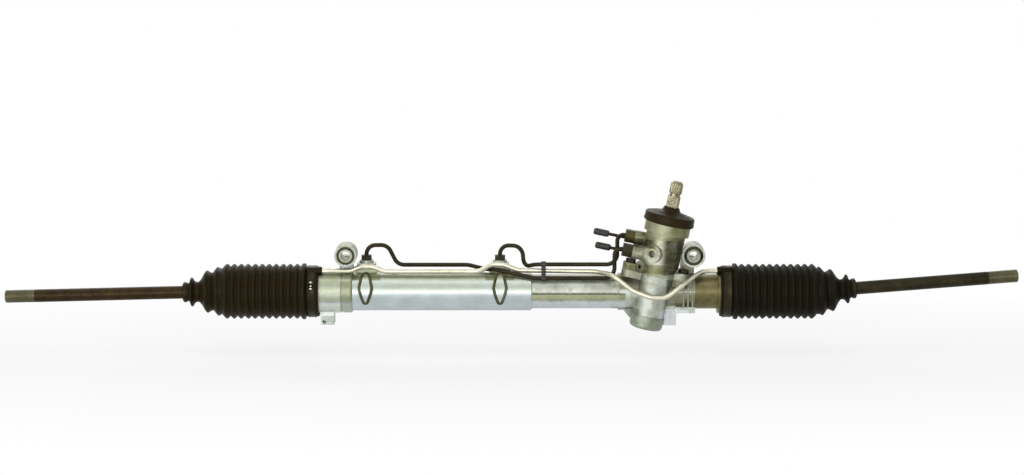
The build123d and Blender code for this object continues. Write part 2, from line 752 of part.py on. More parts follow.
def ring_profile(side, tilt, outline, seam_outer, seam_inner, toward):
    """Revolved rubber skin with a spherical seam round the ball centre.

    outline runs along the outside from the seam to the far end, in steps (distance, radius),
    and the inside follows it one wall thickness further in.
    """
    plane = outboard(side, tilt)
    slack = 2.6 * -toward
    outer_start = (slack, sqrt(seam_outer**2 - slack**2))
    inner_start = (slack, sqrt(seam_inner**2 - slack**2))
    outer_foot = (-slack, sqrt(seam_outer**2 - slack**2))
    inner_foot = (-slack, sqrt(seam_inner**2 - slack**2))
    with BuildPart() as skin:
        with BuildSketch(plane) as section:
            with BuildLine():
                ThreePointArc(outer_start, (0, seam_outer), outer_foot)
                Polyline(outer_foot, *outline[0])
                Line(outline[0][-1], outline[1][0])
                Polyline(*outline[1], inner_foot)
                ThreePointArc(inner_foot, (0, seam_inner), inner_start)
                Line(inner_start, outer_start)
            make_face()
        revolve(section.sketch, axis=Axis(plane.origin, plane.x_dir))
    return skin.part


def inner_half():
    """Outside and inside outline of the bellows from the seam to the big end."""
    outside = []
    for index in range(bellows_crests):
        crest = -first_crest - index * bellows_pitch
        outside.append((crest, bellows_crest_r))
        outside.append((crest - bellows_pitch / 2, bellows_valley_r))
    inside = [(u, r - bellows_wall) for u, r in reversed(outside)]
    outside += [
        (-collar_stop + 4, bellows_lip_r),
        (-collar_stop, bellows_lip_r),
        (-collar_stop, bellows_collar_r),
        (-collar_start, bellows_collar_r),
    ]
    inside = [(-collar_start, spigot_r), (-collar_stop, spigot_r)] + inside
    return outside, inside


def outer_half():
    """Outside and inside outline of the bellows from the seam to the small end."""
    shape = [
        (first_crest, outer_crest_r),
        (11.0, 22.0),
        (18.0, middle_crest_r),
        (27.0, 12.0),
        (33.5, small_crest_r),
        (36.0, small_crest_r),
    ]
    inside = [(neck_length, rod_r + 0.02), (39.5, rod_r + 0.02)]
    inside += [(u, r - bellows_wall) for u, r in reversed(shape)]
    outside = shape + [(39.5, neck_r), (neck_length, neck_r)]
    return outside, inside


nipple_y = -11.0
nipple_z = 25.2


def tie_rod_side(name, side, tilt, length):
    """Ball joint, tie rod, bellows and clamps of one side."""
    level = cross_plane(side, 0, 0)
    with BuildPart() as ball_housing:
        disc(cross_plane(side, 0, -housing_back), ball_housing_r, housing_back + ball_housing_nose)
        pocket_floor = cross_plane(side, 0, -seat_depth - 0.2)
        disc(pocket_floor, ball_pocket_r + press, seat_depth + seat_lip + 0.4, mode=Mode.SUBTRACT)
        with BuildSketch(cross_plane(side, 0, seat_lip - 1)) as mouth:
            Circle(ball_r - 1.2)
        extrude(mouth.sketch, amount=ball_housing_nose, taper=-16, mode=Mode.SUBTRACT)
        disc(cross_plane(side, 0, -housing_back), rack_stub_r, rack_stub_length, mode=Mode.SUBTRACT)
        with BuildSketch(cross_plane(side, 0, -housing_back)) as flats:
            Rectangle(3 * ball_housing_r, 3 * ball_housing_r)
            Rectangle(3 * ball_housing_r, 1.8 * ball_housing_r, mode=Mode.SUBTRACT)
        extrude(flats.sketch, amount=9, mode=Mode.SUBTRACT)
    keep(ball_housing, f"{name}_ball_housing")

    with BuildPart() as ball_seat:
        disc(cross_plane(side, 0, -seat_depth), ball_pocket_r, seat_depth + seat_lip)
        with Locations(level):
            Sphere(seat_r, mode=Mode.SUBTRACT)
    keep(ball_seat, f"{name}_ball_seat")

    with BuildPart() as tie_rod:
        with Locations(level):
            Sphere(ball_r)
        disc(cross_plane(side, tilt, 0), rod_neck_r, 30)
        disc(cross_plane(side, tilt, 26), rod_r, length - 26 - rod_thread_length)
        thread_start = cross_plane(side, tilt, length - rod_thread_length - 1)
        disc(thread_start, rod_thread_r, rod_thread_length + 1)
        tip = tie_rod.edges().filter_by(GeomType.CIRCLE).sort_by(Axis.X)[-1 if side > 0 else 0]
        chamfer(tip, 1.5)
    keep(tie_rod, f"{name}_tie_rod")

    with BuildPart() as bellows:
        add(ring_profile(side, 0, inner_half(), seam_r, seam_r - bellows_wall, -1))
        add(ring_profile(side, tilt, outer_half(), seam_r, seam_r - bellows_wall, 1))
        nipple = Plane(
            origin=(side * (bellows_end - 4), rack_y + nipple_y, rack_z + nipple_z),
            x_dir=(0, 1, 0),
            z_dir=(side, 0, 0),
        )
        disc(nipple, nipple_r, bellows_collar + 3)
        behind = cross_plane(side, 0, -collar_start - 6)
        disc(behind, spigot_r, bellows_collar + 20, mode=Mode.SUBTRACT)
        disc(behind, end_sleeve_rim_r + loose, 6, mode=Mode.SUBTRACT)
        disc(nipple, balance_r + press, bellows_collar + 8, mode=Mode.SUBTRACT)
    keep(bellows, f"{name}_bellows")

    with BuildPart() as large_clamp:
        band = cross_plane(side, 0, -collar_start + 3)
        disc(band, bellows_collar_r + clamp_thickness, clamp_band, bore=bellows_collar_r + running)
        disc(nipple, nipple_r + running, clamp_band + 10, mode=Mode.SUBTRACT)
    keep(large_clamp, f"{name}_large_clamp")

    with BuildPart() as small_clamp:
        disc(cross_plane(side, tilt, neck_length - 4), neck_r + clamp_thickness, 3, bore=neck_r)
    keep(small_clamp, f"{name}_small_clamp")


tie_rod_side("left", -1, left_rod_tilt, left_rod_length)
tie_rod_side("right", 1, right_rod_tilt, right_rod_length)

# ---------------------------------------------------------------- pipes
# Routes are measured from the rack axis: X, then Y and Z from the axis.
pipe_corner = 53.0          # corner of each riser, left of the tower axis
pipe_seat = 34.0


def from_axis(point):
    return (point[0], point[1] - rack_y, point[2] - rack_z)


lower_corner = from_axis(tower_point(-pipe_corner, lower_nut_y, lower_nut_s))
upper_corner = from_axis(tower_point(-pipe_corner, upper_nut_y, upper_nut_s))
lower_y = lower_corner[1]
upper_y = upper_corner[1]

left_pipe_route = [
    (left_port_x, port_setback, port_top),
    (left_port_x, port_setback, 51),
    (left_port_x + 23.5, 13, 51),
    (left_port_x + 35, 14, 28),
    (right_port_x - 36, 14, 28),
    (right_port_x - 18, 2, 25.5),
    (right_port_x, -7, 25.2),
    (right_port_x + 18, -12.5, 22),
    (cylinder_right + 3, lower_y, 17.6),
    (lower_corner[0], lower_y, 17.6),
    lower_corner,
    from_axis(tower_point(-pipe_seat, lower_nut_y, lower_nut_s)),
]
right_pipe_route = [
    (right_port_x, port_setback, port_top),
    (right_port_x, port_setback, 51),
    (right_port_x + 25, 7, 51),
    (right_port_x + 27, 4, 27.5),
    (cylinder_right + 5, upper_y, 32.5),
    (upper_corner[0], upper_y, 32.5),
    upper_corner,
    from_axis(tower_point(-pipe_seat, upper_nut_y, upper_nut_s)),
]
balance_route = [
    (-bellows_end - 8, nipple_y, nipple_z),
    (left_port_x - 17, nipple_y, nipple_z),
    (left_port_x - 6, nipple_y, 30),
    (left_port_x + 8, nipple_y, 30),
    (left_port_x + 21, nipple_y, 24.6),
    (right_port_x - 23, nipple_y, 24.6),
    (right_port_x - 10, -7, 31.8),
    (right_port_x + 4, -7, 31.8),
    (right_port_x + 20, -7.5, 25.4),
    (gear_left - 23, -8, 24.1),
    (gear_left - 7, -25, 22.8),
    (tower_x - 22.5, -35, 6.5),
    (tower_x - 3.5, -39.5, -0.2),
    (tower_x + 13.5, -39.5, -0.7),
    (tower_x + 31.5, -37.5, 13),
    (gear_right, -22, 21.5),
    (gear_right + 10, nipple_y, nipple_z),
    (bellows_end + 8, nipple_y, nipple_z),
]
keep(bent_tube(left_pipe_route, pipe_r, pipe_bore_r, pipe_bend), "left_transfer_pipe")
keep(bent_tube(right_pipe_route, pipe_r, pipe_bore_r, pipe_bend), "right_transfer_pipe")
keep(bent_tube(balance_route, balance_r, balance_bore_r, balance_bend), "balance_tube")

port_nut_width = 10.0
port_nut_height = 5.5
valve_nut_width = 14.0
valve_nut_height = 11.0

with BuildPart() as cylinder_nuts:
    for port_x in (left_port_x, right_port_x):
        hexagon(
            Plane(origin=(port_x, rack_y + port_setback, rack_z + port_top)),
            port_nut_width,
            port_nut_height,
            bore=pipe_r + running,
        )
keep(cylinder_nuts, "cylinder_nuts")

with BuildPart() as valve_nuts:
    for nut_y, nut_s in ((upper_nut_y, upper_nut_s), (lower_nut_y, lower_nut_s)):
        nut_face = left_plane(nut_seat, nut_y, nut_s)
        hexagon(nut_face, valve_nut_width, valve_nut_height, bore=pipe_r + running)
keep(valve_nuts, "valve_nuts")

upper_stub_length = 41.0
lower_stub_length = 36.0
stub_r = 1.8
stub_cap_r = 3.8
stub_cap_length = 18.0
stubs = ((upper_stub_s, upper_stub_length), (lower_stub_s, lower_stub_length))

with BuildPart() as hydraulic_stubs:
    for stub_s, stub_length in stubs:
        disc(left_plane(20, stub_y, stub_s), stub_r, stub_length + 8)
keep(hydraulic_stubs, "hydraulic_stubs")

with BuildPart() as stub_caps:
    for stub_s, stub_length in stubs:
        disc(left_plane(20 + stub_length, stub_y, stub_s), stub_cap_r, stub_cap_length)
    fillet(stub_caps.edges().filter_by(GeomType.CIRCLE), 2.5)
    for stub_s, stub_length in stubs:
        disc(left_plane(20 + stub_length, stub_y, stub_s), stub_r, 8, mode=Mode.SUBTRACT)
keep(stub_caps, "stub_caps")

clip_x = cylinder_right + 14
clip_width = 5.0
clip_ring_r = 3.6


def route_at(route, x):
    """Y and Z from the rack axis where a route's straight run passes x."""
    for a, b in zip(route, route[1:]):
        if a[0] <= x <= b[0]:
            part = (x - a[0]) / (b[0] - a[0])
            return (a[1] + part * (b[1] - a[1]), a[2] + part * (b[2] - a[2]))


low_y, low_z = route_at(left_pipe_route, clip_x)
high_y, high_z = route_at(right_pipe_route, clip_x)
with BuildPart() as pipe_clip:
    with BuildSketch(station(clip_x - clip_width / 2)) as clip:
        with Locations((low_y, low_z), (high_y, high_z)):
            Circle(clip_ring_r)
        tilt_angle = degrees(atan2(high_z - low_z, high_y - low_y))
        reach = sqrt((high_z - low_z) ** 2 + (high_y - low_y) ** 2)
        with Locations(((low_y + high_y) / 2 - 1.2, (low_z + high_z) / 2)):
            Rectangle(reach, 2.4, rotation=tilt_angle)
        with Locations((low_y, low_z), (high_y, high_z)):
            Circle(pipe_r + running, mode=Mode.SUBTRACT)
    extrude(clip.sketch, amount=clip_width)
keep(pipe_clip, "pipe_clip")
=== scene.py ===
import json
import math
import random

import bpy
from mathutils import Matrix, Vector


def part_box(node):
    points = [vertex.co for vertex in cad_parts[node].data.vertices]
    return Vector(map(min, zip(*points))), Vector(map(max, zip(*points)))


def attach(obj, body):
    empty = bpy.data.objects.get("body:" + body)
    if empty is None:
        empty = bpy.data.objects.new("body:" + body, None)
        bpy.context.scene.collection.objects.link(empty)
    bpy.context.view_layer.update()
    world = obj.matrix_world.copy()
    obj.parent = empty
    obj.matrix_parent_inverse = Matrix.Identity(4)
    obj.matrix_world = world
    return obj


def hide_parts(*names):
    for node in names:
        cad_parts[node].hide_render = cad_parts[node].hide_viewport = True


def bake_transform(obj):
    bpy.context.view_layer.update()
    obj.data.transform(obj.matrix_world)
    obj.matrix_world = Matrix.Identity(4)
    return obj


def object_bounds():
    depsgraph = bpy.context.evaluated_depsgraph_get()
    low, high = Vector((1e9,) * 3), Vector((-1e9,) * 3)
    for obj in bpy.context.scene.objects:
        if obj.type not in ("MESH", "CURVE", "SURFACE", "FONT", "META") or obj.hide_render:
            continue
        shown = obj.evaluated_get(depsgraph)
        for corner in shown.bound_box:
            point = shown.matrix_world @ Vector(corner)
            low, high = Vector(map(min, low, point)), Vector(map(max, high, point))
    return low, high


# Hydraulic steering rack. Metres, in the row frame: +X along the rack, -Y towards the camera.
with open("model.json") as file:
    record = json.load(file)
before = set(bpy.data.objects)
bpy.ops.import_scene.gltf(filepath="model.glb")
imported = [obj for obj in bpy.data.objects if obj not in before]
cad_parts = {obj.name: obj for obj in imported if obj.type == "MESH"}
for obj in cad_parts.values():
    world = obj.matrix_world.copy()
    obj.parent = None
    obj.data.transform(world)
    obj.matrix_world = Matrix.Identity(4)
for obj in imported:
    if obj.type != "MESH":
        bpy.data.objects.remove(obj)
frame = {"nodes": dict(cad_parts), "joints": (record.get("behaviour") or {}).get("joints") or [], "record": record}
cad_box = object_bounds()
nodes = frame["nodes"]
record = frame["record"]
mounts = {mount["name"]: mount for mount in record["mounts"]}
joints = {joint["name"]: joint for joint in frame["joints"]}
MM = 0.001

# ---------------------------------------------------------------- places taken from the frame
ball_left = Vector(joints["left_rod_swing"]["pos_m"])
ball_right = Vector(joints["right_rod_swing"]["pos_m"])
pinion_at = Vector(joints["pinion_spin"]["pos_m"])
tower_up = Vector(joints["pinion_spin"]["axis"]).normalized()
rod_left = Vector(mounts["left_tie_rod_end"]["axis"]).normalized()
rod_right = Vector(mounts["right_tie_rod_end"]["axis"]).normalized()
axis_y = ball_left.y
axis_z = ball_left.z
cylinder_low, cylinder_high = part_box("cylinder_tube")
nut_low, nut_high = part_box("valve_nuts")
X = Vector((1, 0, 0))
Y = Vector((0, 1, 0))
Z = Vector((0, 0, 1))
SIGN = {"left": -1, "right": 1}


def port_places():
    """X of both cylinder ports, from the union nuts on them."""
    xs = sorted(v.co.x for v in nodes["cylinder_nuts"].data.vertices)
    middle = (xs[0] + xs[-1]) / 2
    left = [x for x in xs if x < middle]
    right = [x for x in xs if x >= middle]
    return (left[0] + left[-1]) / 2, (right[0] + right[-1]) / 2


port_left, port_right = port_places()

# ---------------------------------------------------------------- camera
FRAME_W = 1024
FRAME_H = 475
SCALE = 1.13 * MM           # metres of the rack's plane in one pixel
AXIS_PX = 291.25            # picture row of the rack axis
ORIGIN_PX = 519.5           # picture column of X = 0
CAMERA_TILT = math.radians(9.0)
CAMERA_DISTANCE = 2.8
CAMERA_REACH = 50.0
SENSOR = 36.0


def add_camera():
    """Camera level in azimuth, looking slightly down on the rack."""
    look = Vector((0, math.cos(CAMERA_TILT), -math.sin(CAMERA_TILT)))
    up = Vector((0, math.sin(CAMERA_TILT), math.cos(CAMERA_TILT)))
    target = Vector(((FRAME_W / 2 - ORIGIN_PX) * SCALE, axis_y, axis_z))
    target += up * (AXIS_PX - FRAME_H / 2) * SCALE
    data = bpy.data.cameras.new("camera")
    data.sensor_width = SENSOR
    data.lens = SENSOR * CAMERA_DISTANCE / (FRAME_W * SCALE)
    data.clip_end = CAMERA_REACH
    camera = bpy.data.objects.new("camera", data)
    camera.location = target - look * CAMERA_DISTANCE
    camera.rotation_euler = look.to_track_quat("-Z", "Y").to_euler()
    bpy.context.scene.collection.objects.link(camera)
    bpy.context.scene.camera = camera


add_camera()

# ---------------------------------------------------------------- node helpers
BLACK = (0, 0, 0)
WHITE = (1, 1, 1)
EVEN = (1, 1, 1)            # coordinates that aren't stretched
MIX_FACTOR, MIX_A, MIX_B, MIX_RESULT = 0, 6, 7, 2       # colour sockets of a Mix node
BEVEL_SAMPLES = 6
EDGE_FROM = 0.02            # turn of the normal from which an edge counts as worn
EDGE_FULL = 0.25            # and at which it counts in full
PATCH_GREY = (0.6, 0.6, 0.6)


def toned(colour, factor):
    """A colour times a factor."""
    return tuple(min(1, channel * factor) for channel in colour)


class Tree:
    """Small helper that adds shader nodes and links them. Blotches and bevels are in millimetres."""

    def __init__(self, name):
        self.material = bpy.data.materials.new(name)
        self.material.use_nodes = True
        self.tree = self.material.node_tree
        self.tree.nodes.clear()
        self.out = self.tree.nodes.new("ShaderNodeOutputMaterial")
        self.coords = self.tree.nodes.new("ShaderNodeTexCoord")

    def feed(self, socket, value):
        """Link a socket to another one, or set its value."""
        if isinstance(value, bpy.types.NodeSocket):
            self.tree.links.new(value, socket)
        else:
            socket.default_value = value

    def add(self, kind, **inputs):
        """Add a node and feed its inputs."""
        node = self.tree.nodes.new(kind)
        for key, value in inputs.items():
            self.feed(node.inputs[key], value)
        return node

    def place(self, stretch):
        """Object coordinates, stretched."""
        return self.add("ShaderNodeMapping", Vector=self.coords.outputs["Object"], Scale=stretch).outputs[0]

    def noise(self, size, detail=3.0, rough=0.55, stretch=EVEN):
        """Noise whose blotches are about size wide."""
        node = self.add("ShaderNodeTexNoise", Vector=self.place(stretch), Scale=1 / (size * MM))
        self.feed(node.inputs["Detail"], detail)
        self.feed(node.inputs["Roughness"], rough)
        return node.outputs["Fac"]

    def ramp(self, factor, *stops):
        """Colour that runs between two stops, each (place, colour)."""
        node = self.add("ShaderNodeValToRGB", Fac=factor)
        for element, (at, colour) in zip(node.color_ramp.elements, stops):
            element.position = at
            element.color = (*colour, 1)
        return node.outputs["Color"]

    def math(self, kind, a, b):
        """Sum, product or the like of two values."""
        node = self.tree.nodes.new("ShaderNodeMath")
        node.operation = kind
        self.feed(node.inputs[0], a)
        self.feed(node.inputs[1], b)
        return node.outputs[0]

    def spread(self, value, span, base):
        """A value times span, plus base."""
        return self.math("ADD", self.math("MULTIPLY", value, span), base)

    def mix(self, factor, a, b, kind="MIX"):
        """Blend of two colours."""
        node = self.tree.nodes.new("ShaderNodeMix")
        node.data_type = "RGBA"
        node.blend_type = kind
        self.feed(node.inputs[MIX_FACTOR], factor)
        for index, colour in ((MIX_A, a), (MIX_B, b)):
            self.feed(node.inputs[index], (*colour, 1) if isinstance(colour, tuple) else colour)
        return node.outputs[MIX_RESULT]

    def bevel(self, radius):
        """Normal that rounds off the edges."""
        node = self.add("ShaderNodeBevel", Radius=radius * MM)
        node.samples = BEVEL_SAMPLES
        return node.outputs[0]

    def edges(self, radius):
        """Mask that is 1 on rounded-off edges and 0 on open faces."""
        geometry = self.tree.nodes.new("ShaderNodeNewGeometry")
        dot = self.tree.nodes.new("ShaderNodeVectorMath")
        dot.operation = "DOT_PRODUCT"
        self.feed(dot.inputs[0], self.bevel(radius))
        self.feed(dot.inputs[1], geometry.outputs["Normal"])
        turned = self.math("SUBTRACT", 1.0, dot.outputs["Value"])
        scaled = self.math("MULTIPLY", self.math("SUBTRACT", turned, EDGE_FROM), 1 / (EDGE_FULL - EDGE_FROM))
        return self.add("ShaderNodeClamp", Value=scaled).outputs[0]

    def wear(self, tone, colour, amount, radius):
        """Lay a colour over the edges of a tone."""
        return self.mix(self.math("MULTIPLY", self.edges(radius), amount), tone, colour)

    def spots(self, tone, colour, amount, start, fade, **noise):
        """Lay a colour over a tone where a noise is over start; fade is the width of the border."""
        mask = self.ramp(self.noise(**noise), (start, BLACK), (start + fade, WHITE))
        return self.mix(self.math("MULTIPLY", mask, amount), tone, colour)

    def band(self, axis, low, high, soft):
        """Mask that is 1 between two places along an axis of the row frame, all in metres."""
        parts = self.add("ShaderNodeSeparateXYZ", Vector=self.coords.outputs["Object"])
        sides = []
        for start, stop in ((low - soft, low), (high + soft, high)):
            node = self.add("ShaderNodeMapRange", Value=parts.outputs[axis])
            node.interpolation_type = "SMOOTHSTEP"
            node.inputs["From Min"].default_value = start
            node.inputs["From Max"].default_value = stop
            sides.append(node.outputs[0])
        return self.math("MULTIPLY", *sides)

    def zone(self, amount, *bands):
        """Product of several bands, times an amount."""
        mask = self.band(*bands[0])
        for more in bands[1:]:
            mask = self.math("MULTIPLY", mask, self.band(*more))
        return self.math("MULTIPLY", mask, amount)

    def paint(self, tone, patches):
        """Lay zones of another tone over a tone: painted light and shade on the castings and cylinder, and a
        darker lower union nut; each is (colour, amount, band, band...).
        """
        for colour, amount, *bands in patches:
            uneven = self.ramp(self.noise(6, detail=4.0, rough=0.65), (0.25, PATCH_GREY), (0.6, WHITE))
            tone = self.mix(self.math("MULTIPLY", self.zone(amount, *bands), uneven), tone, colour)
        return tone

    def finish(self, tone, roughness, metallic, height, depth, bevel, specular=0.5):
        """Principled surface with rounded edges and a bump; returns the material."""
        bump = self.add("ShaderNodeBump", Height=height, Distance=depth * MM, Strength=1.0)
        self.feed(bump.inputs["Normal"], self.bevel(bevel))
        shader = self.add("ShaderNodeBsdfPrincipled", Metallic=metallic, Roughness=roughness)
        self.feed(shader.inputs["Base Color"], tone)
        self.feed(shader.inputs["Normal"], bump.outputs[0])
        shader.inputs["Specular IOR Level"].default_value = specular
        self.feed(self.out.inputs[0], shader.outputs[0])
        return self.material


# ---------------------------------------------------------------- kinds of material


def cast_metal(name, light, dark, stain, stain_from=0.52, patches=()):
    """Shot-blasted casting: fine grain, soft cloudy tone, stains, brighter worn edges, and the zones of painted
    light and shade given.
    """
    t = Tree(name)
    cloud = t.noise(18, detail=4.0)
    grain = t.noise(1.1, detail=2.0, rough=0.6)
    dimples = t.noise(5, detail=2.0)
    specks = t.ramp(t.noise(3.2, rough=0.7), (0.40, (0.80, 0.80, 0.78)), (0.62, WHITE))
    tone = t.mix(0.55, t.ramp(cloud, (0.32, dark), (0.66, light)), specks, "MULTIPLY")
    tone = t.spots(tone, stain, amount=0.55, start=stain_from, fade=0.16, size=11, detail=5.0, rough=0.65)
    tone = t.paint(tone, patches)
    tone = t.wear(tone, toned(light, 1.25), amount=0.5, radius=0.9)
    roughness = t.spread(cloud, span=0.25, base=0.32)
    height = t.math("ADD", grain, t.math("MULTIPLY", dimples, 0.8))
    return t.finish(tone, roughness, metallic=0.55, height=height, depth=0.16, bevel=0.8)


def turned_metal(name, light, dark, stain, rough, metallic, stretch=EVEN, stain_from=0.6, patches=()):
    """Drawn or turned metal: fine lines along or around the part, a little staining, and the zones given (painted
    shade on the cylinder, a darker lower union nut).
    """
    t = Tree(name)
    lines = t.noise(0.9, detail=2.0, rough=0.6, stretch=stretch)
    cloud = t.noise(20, detail=4.0)
    grooves = t.ramp(lines, (0.35, (0.72, 0.72, 0.72)), (0.65, WHITE))
    tone = t.mix(0.35, t.ramp(cloud, (0.3, dark), (0.7, light)), grooves, "MULTIPLY")
    tone = t.spots(tone, stain, amount=0.6, start=stain_from, fade=0.15, size=7, detail=5.0, rough=0.7)
    tone = t.paint(tone, patches)
    tone = t.wear(tone, toned(light, 1.3), amount=0.6, radius=0.6)
    roughness = t.spread(cloud, span=0.2, base=rough - 0.1)
    return t.finish(tone, roughness, metallic, height=lines, depth=0.04, bevel=0.4)


def coated_steel(name, base, rust, bare):
    """Dark coated steel with brown bloom, scuffs and bare edges."""
    t = Tree(name)
    tone = t.ramp(t.noise(12, detail=5.0, rough=0.6), (0.35, base), (0.68, rust))
    tone = t.spots(tone, bare, amount=0.35, start=0.58, fade=0.12, size=2.4, detail=6.0, rough=0.75)
    tone = t.wear(tone, bare, amount=0.7, radius=0.5)
    roughness = t.spread(t.noise(6), span=0.3, base=0.30)
    height = t.noise(1.2, rough=0.6)
    return t.finish(tone, roughness, metallic=0.45, height=height, depth=0.06, bevel=0.4, specular=0.18)


def moulded_rubber(name, base, dust, rough):
    """Moulded rubber: fine grain and faint dust, with little gloss."""
    t = Tree(name)
    tone = t.ramp(t.noise(20, detail=4.0), (0.35, base), (0.7, toned(base, 1.35)))
    tone = t.spots(tone, dust, amount=0.3, start=0.62, fade=0.13, size=1.6, detail=4.0, rough=0.7)
    roughness = t.spread(t.noise(8), span=0.3, base=rough - 0.15)
    height = t.noise(0.9, detail=2.0, rough=0.6)
    return t.finish(tone, roughness, metallic=0.0, height=height, depth=0.05, bevel=0.4, specular=0.08)


def plain_moulding(name, base, rough):
    """Moulded nylon or plastic with a fine grain."""
    t = Tree(name)
    tone = t.ramp(t.noise(10), (0.3, toned(base, 0.85)), (0.7, base))
    roughness = t.spread(t.noise(4), span=0.25, base=rough - 0.1)
    height = t.noise(0.8, detail=2.0)
    return t.finish(tone, roughness, metallic=0.0, height=height, depth=0.03, bevel=0.4)


# ---------------------------------------------------------------- painted light and shade
# the olives are painted shade and the pale blue and pale green are painted light; NUT_BROWN darkens the lower
# union nut
OLIVE = (0.13, 0.12, 0.035)
OLIVE_LIGHT = (0.34, 0.37, 0.20)
OLIVE_MID = (0.24, 0.26, 0.12)
DEEP_OLIVE = (0.040, 0.037, 0.012)
NUT_BROWN = (0.018, 0.016, 0.007)
PALE_BLUE = (0.66, 0.70, 0.76)
PALE_GREEN = (0.74, 0.82, 0.74)
ALONG_X, ALONG_Y, ALONG_Z = 0, 1, 2


def around(place, low, high, soft):
    """Band along the rack, in millimetres from a place on it."""
    return (ALONG_X, place + low * MM, place + high * MM, soft * MM)


def beside(low, high, soft=3):
    """Band along the rack, in millimetres from the pinion."""
    return around(pinion_at.x, low, high, soft)


def above(low, high, soft=0.8):
    """Band of heights, in millimetres over the rack axis."""
    return (ALONG_Z, axis_z + low * MM, axis_z + high * MM, soft * MM)


NARROW = around(cylinder_high.x, 0, 105, 2)             # the slim tube beside the cylinder
FRONT = (ALONG_Y, -1, axis_y + 4 * MM, 1 * MM)          # everything on the camera's side
LOWER_NUT = (ALONG_Z, nut_low.z - 10 * MM, (nut_low.z + nut_high.z) / 2, 1 * MM)

# zones of painted light and shade; each is (colour, amount, band, band...)
# painted shade on the cylinder: a dark band under the balance tube along the top, a darker upper middle and
# underside, and painted shadow on both sides of each port pad and under the tube's saddle over it
cylinder_painted_shade = [
    (OLIVE_LIGHT, 0.6, above(16.5, 30)),
    (OLIVE, 0.5, above(18.2, 21)),
    (OLIVE, 0.35, above(-30, -19.5)),
    (OLIVE_LIGHT, 0.45, above(5, 16, 2.5)),
]
for port in (port_left, port_right):
    for low, high in ((-15, -6.5), (6.5, 15)):
        cylinder_painted_shade.append((OLIVE, 0.75, around(port, low, high, 3), above(15.5, 22)))
    cylinder_painted_shade.append((OLIVE_LIGHT, 0.7, around(port, -13, 13, 2), above(19, 36)))
# painted light and shade on the gear housing: painted light low on the front of the slim tube and on the lower
# tower; painted shade under the slim tube's rib and rail, on the tower's sides and over its lower web
gear_painted_light_and_shade = [
    (PALE_BLUE, 0.7, NARROW, above(-19, -9), FRONT),
    (OLIVE_MID, 0.9, NARROW, above(-6.0, -0.6), FRONT),
    (DEEP_OLIVE, 0.85, NARROW, above(-0.2, 1.2), FRONT),
    (OLIVE, 0.5, NARROW, above(14, 30)),
    (PALE_BLUE, 0.6, beside(8, 40), above(-36, -18)),
    (OLIVE, 0.6, beside(-36, -13, 4), above(6, 34)),
    (DEEP_OLIVE, 0.8, beside(16, 24), above(4, 30)),
    (OLIVE, 0.7, beside(24, 46), above(4, 30)),
    (OLIVE, 0.75, beside(16, 48), above(-14, 2)),
    (DEEP_OLIVE, 0.5, beside(-44, -17), above(-40, -16)),
]
# painted shade on the valve housing: under the top flange, round the port boss, down its right side and over the
# upper ring
valve_painted_shade = [
    (OLIVE, 0.95, beside(-50, -1, 6), above(55, 67)),
    (DEEP_OLIVE, 1.0, beside(-38, -4, 6), above(56, 66)),
    (OLIVE, 0.8, beside(-30, 60, 6), above(26, 36)),
    (DEEP_OLIVE, 1.0, beside(15, 60, 8), above(24, 66)),
    (DEEP_OLIVE, 0.5, beside(-30, -12, 4), above(20, 34)),
    (OLIVE_LIGHT, 0.6, beside(-50, 60, 6), above(64, 90)),
    (OLIVE, 0.7, beside(24, 60, 8), above(62, 90)),
    (OLIVE, 0.5, beside(-50, -8, 8), above(66, 90)),
    (OLIVE, 0.4, beside(-8, 24, 8), above(64, 90)),
]
# painted light and shade on the left end housing: painted shade under its top flange, on its upper part and along
# its inboard edge, painted light on its lower part
end_painted_light_and_shade = [
    (OLIVE_LIGHT, 0.65, above(14, 26)),
    (OLIVE, 0.55, above(17.5, 22)),
    (OLIVE_MID, 0.6, above(36, 70)),
    (OLIVE_LIGHT, 0.65, above(-7, 14)),
    (PALE_GREEN, 0.7, above(-26, -10)),
    (OLIVE, 0.45, around(cylinder_low.x, -1, 14, 1), above(-30, 14)),
]

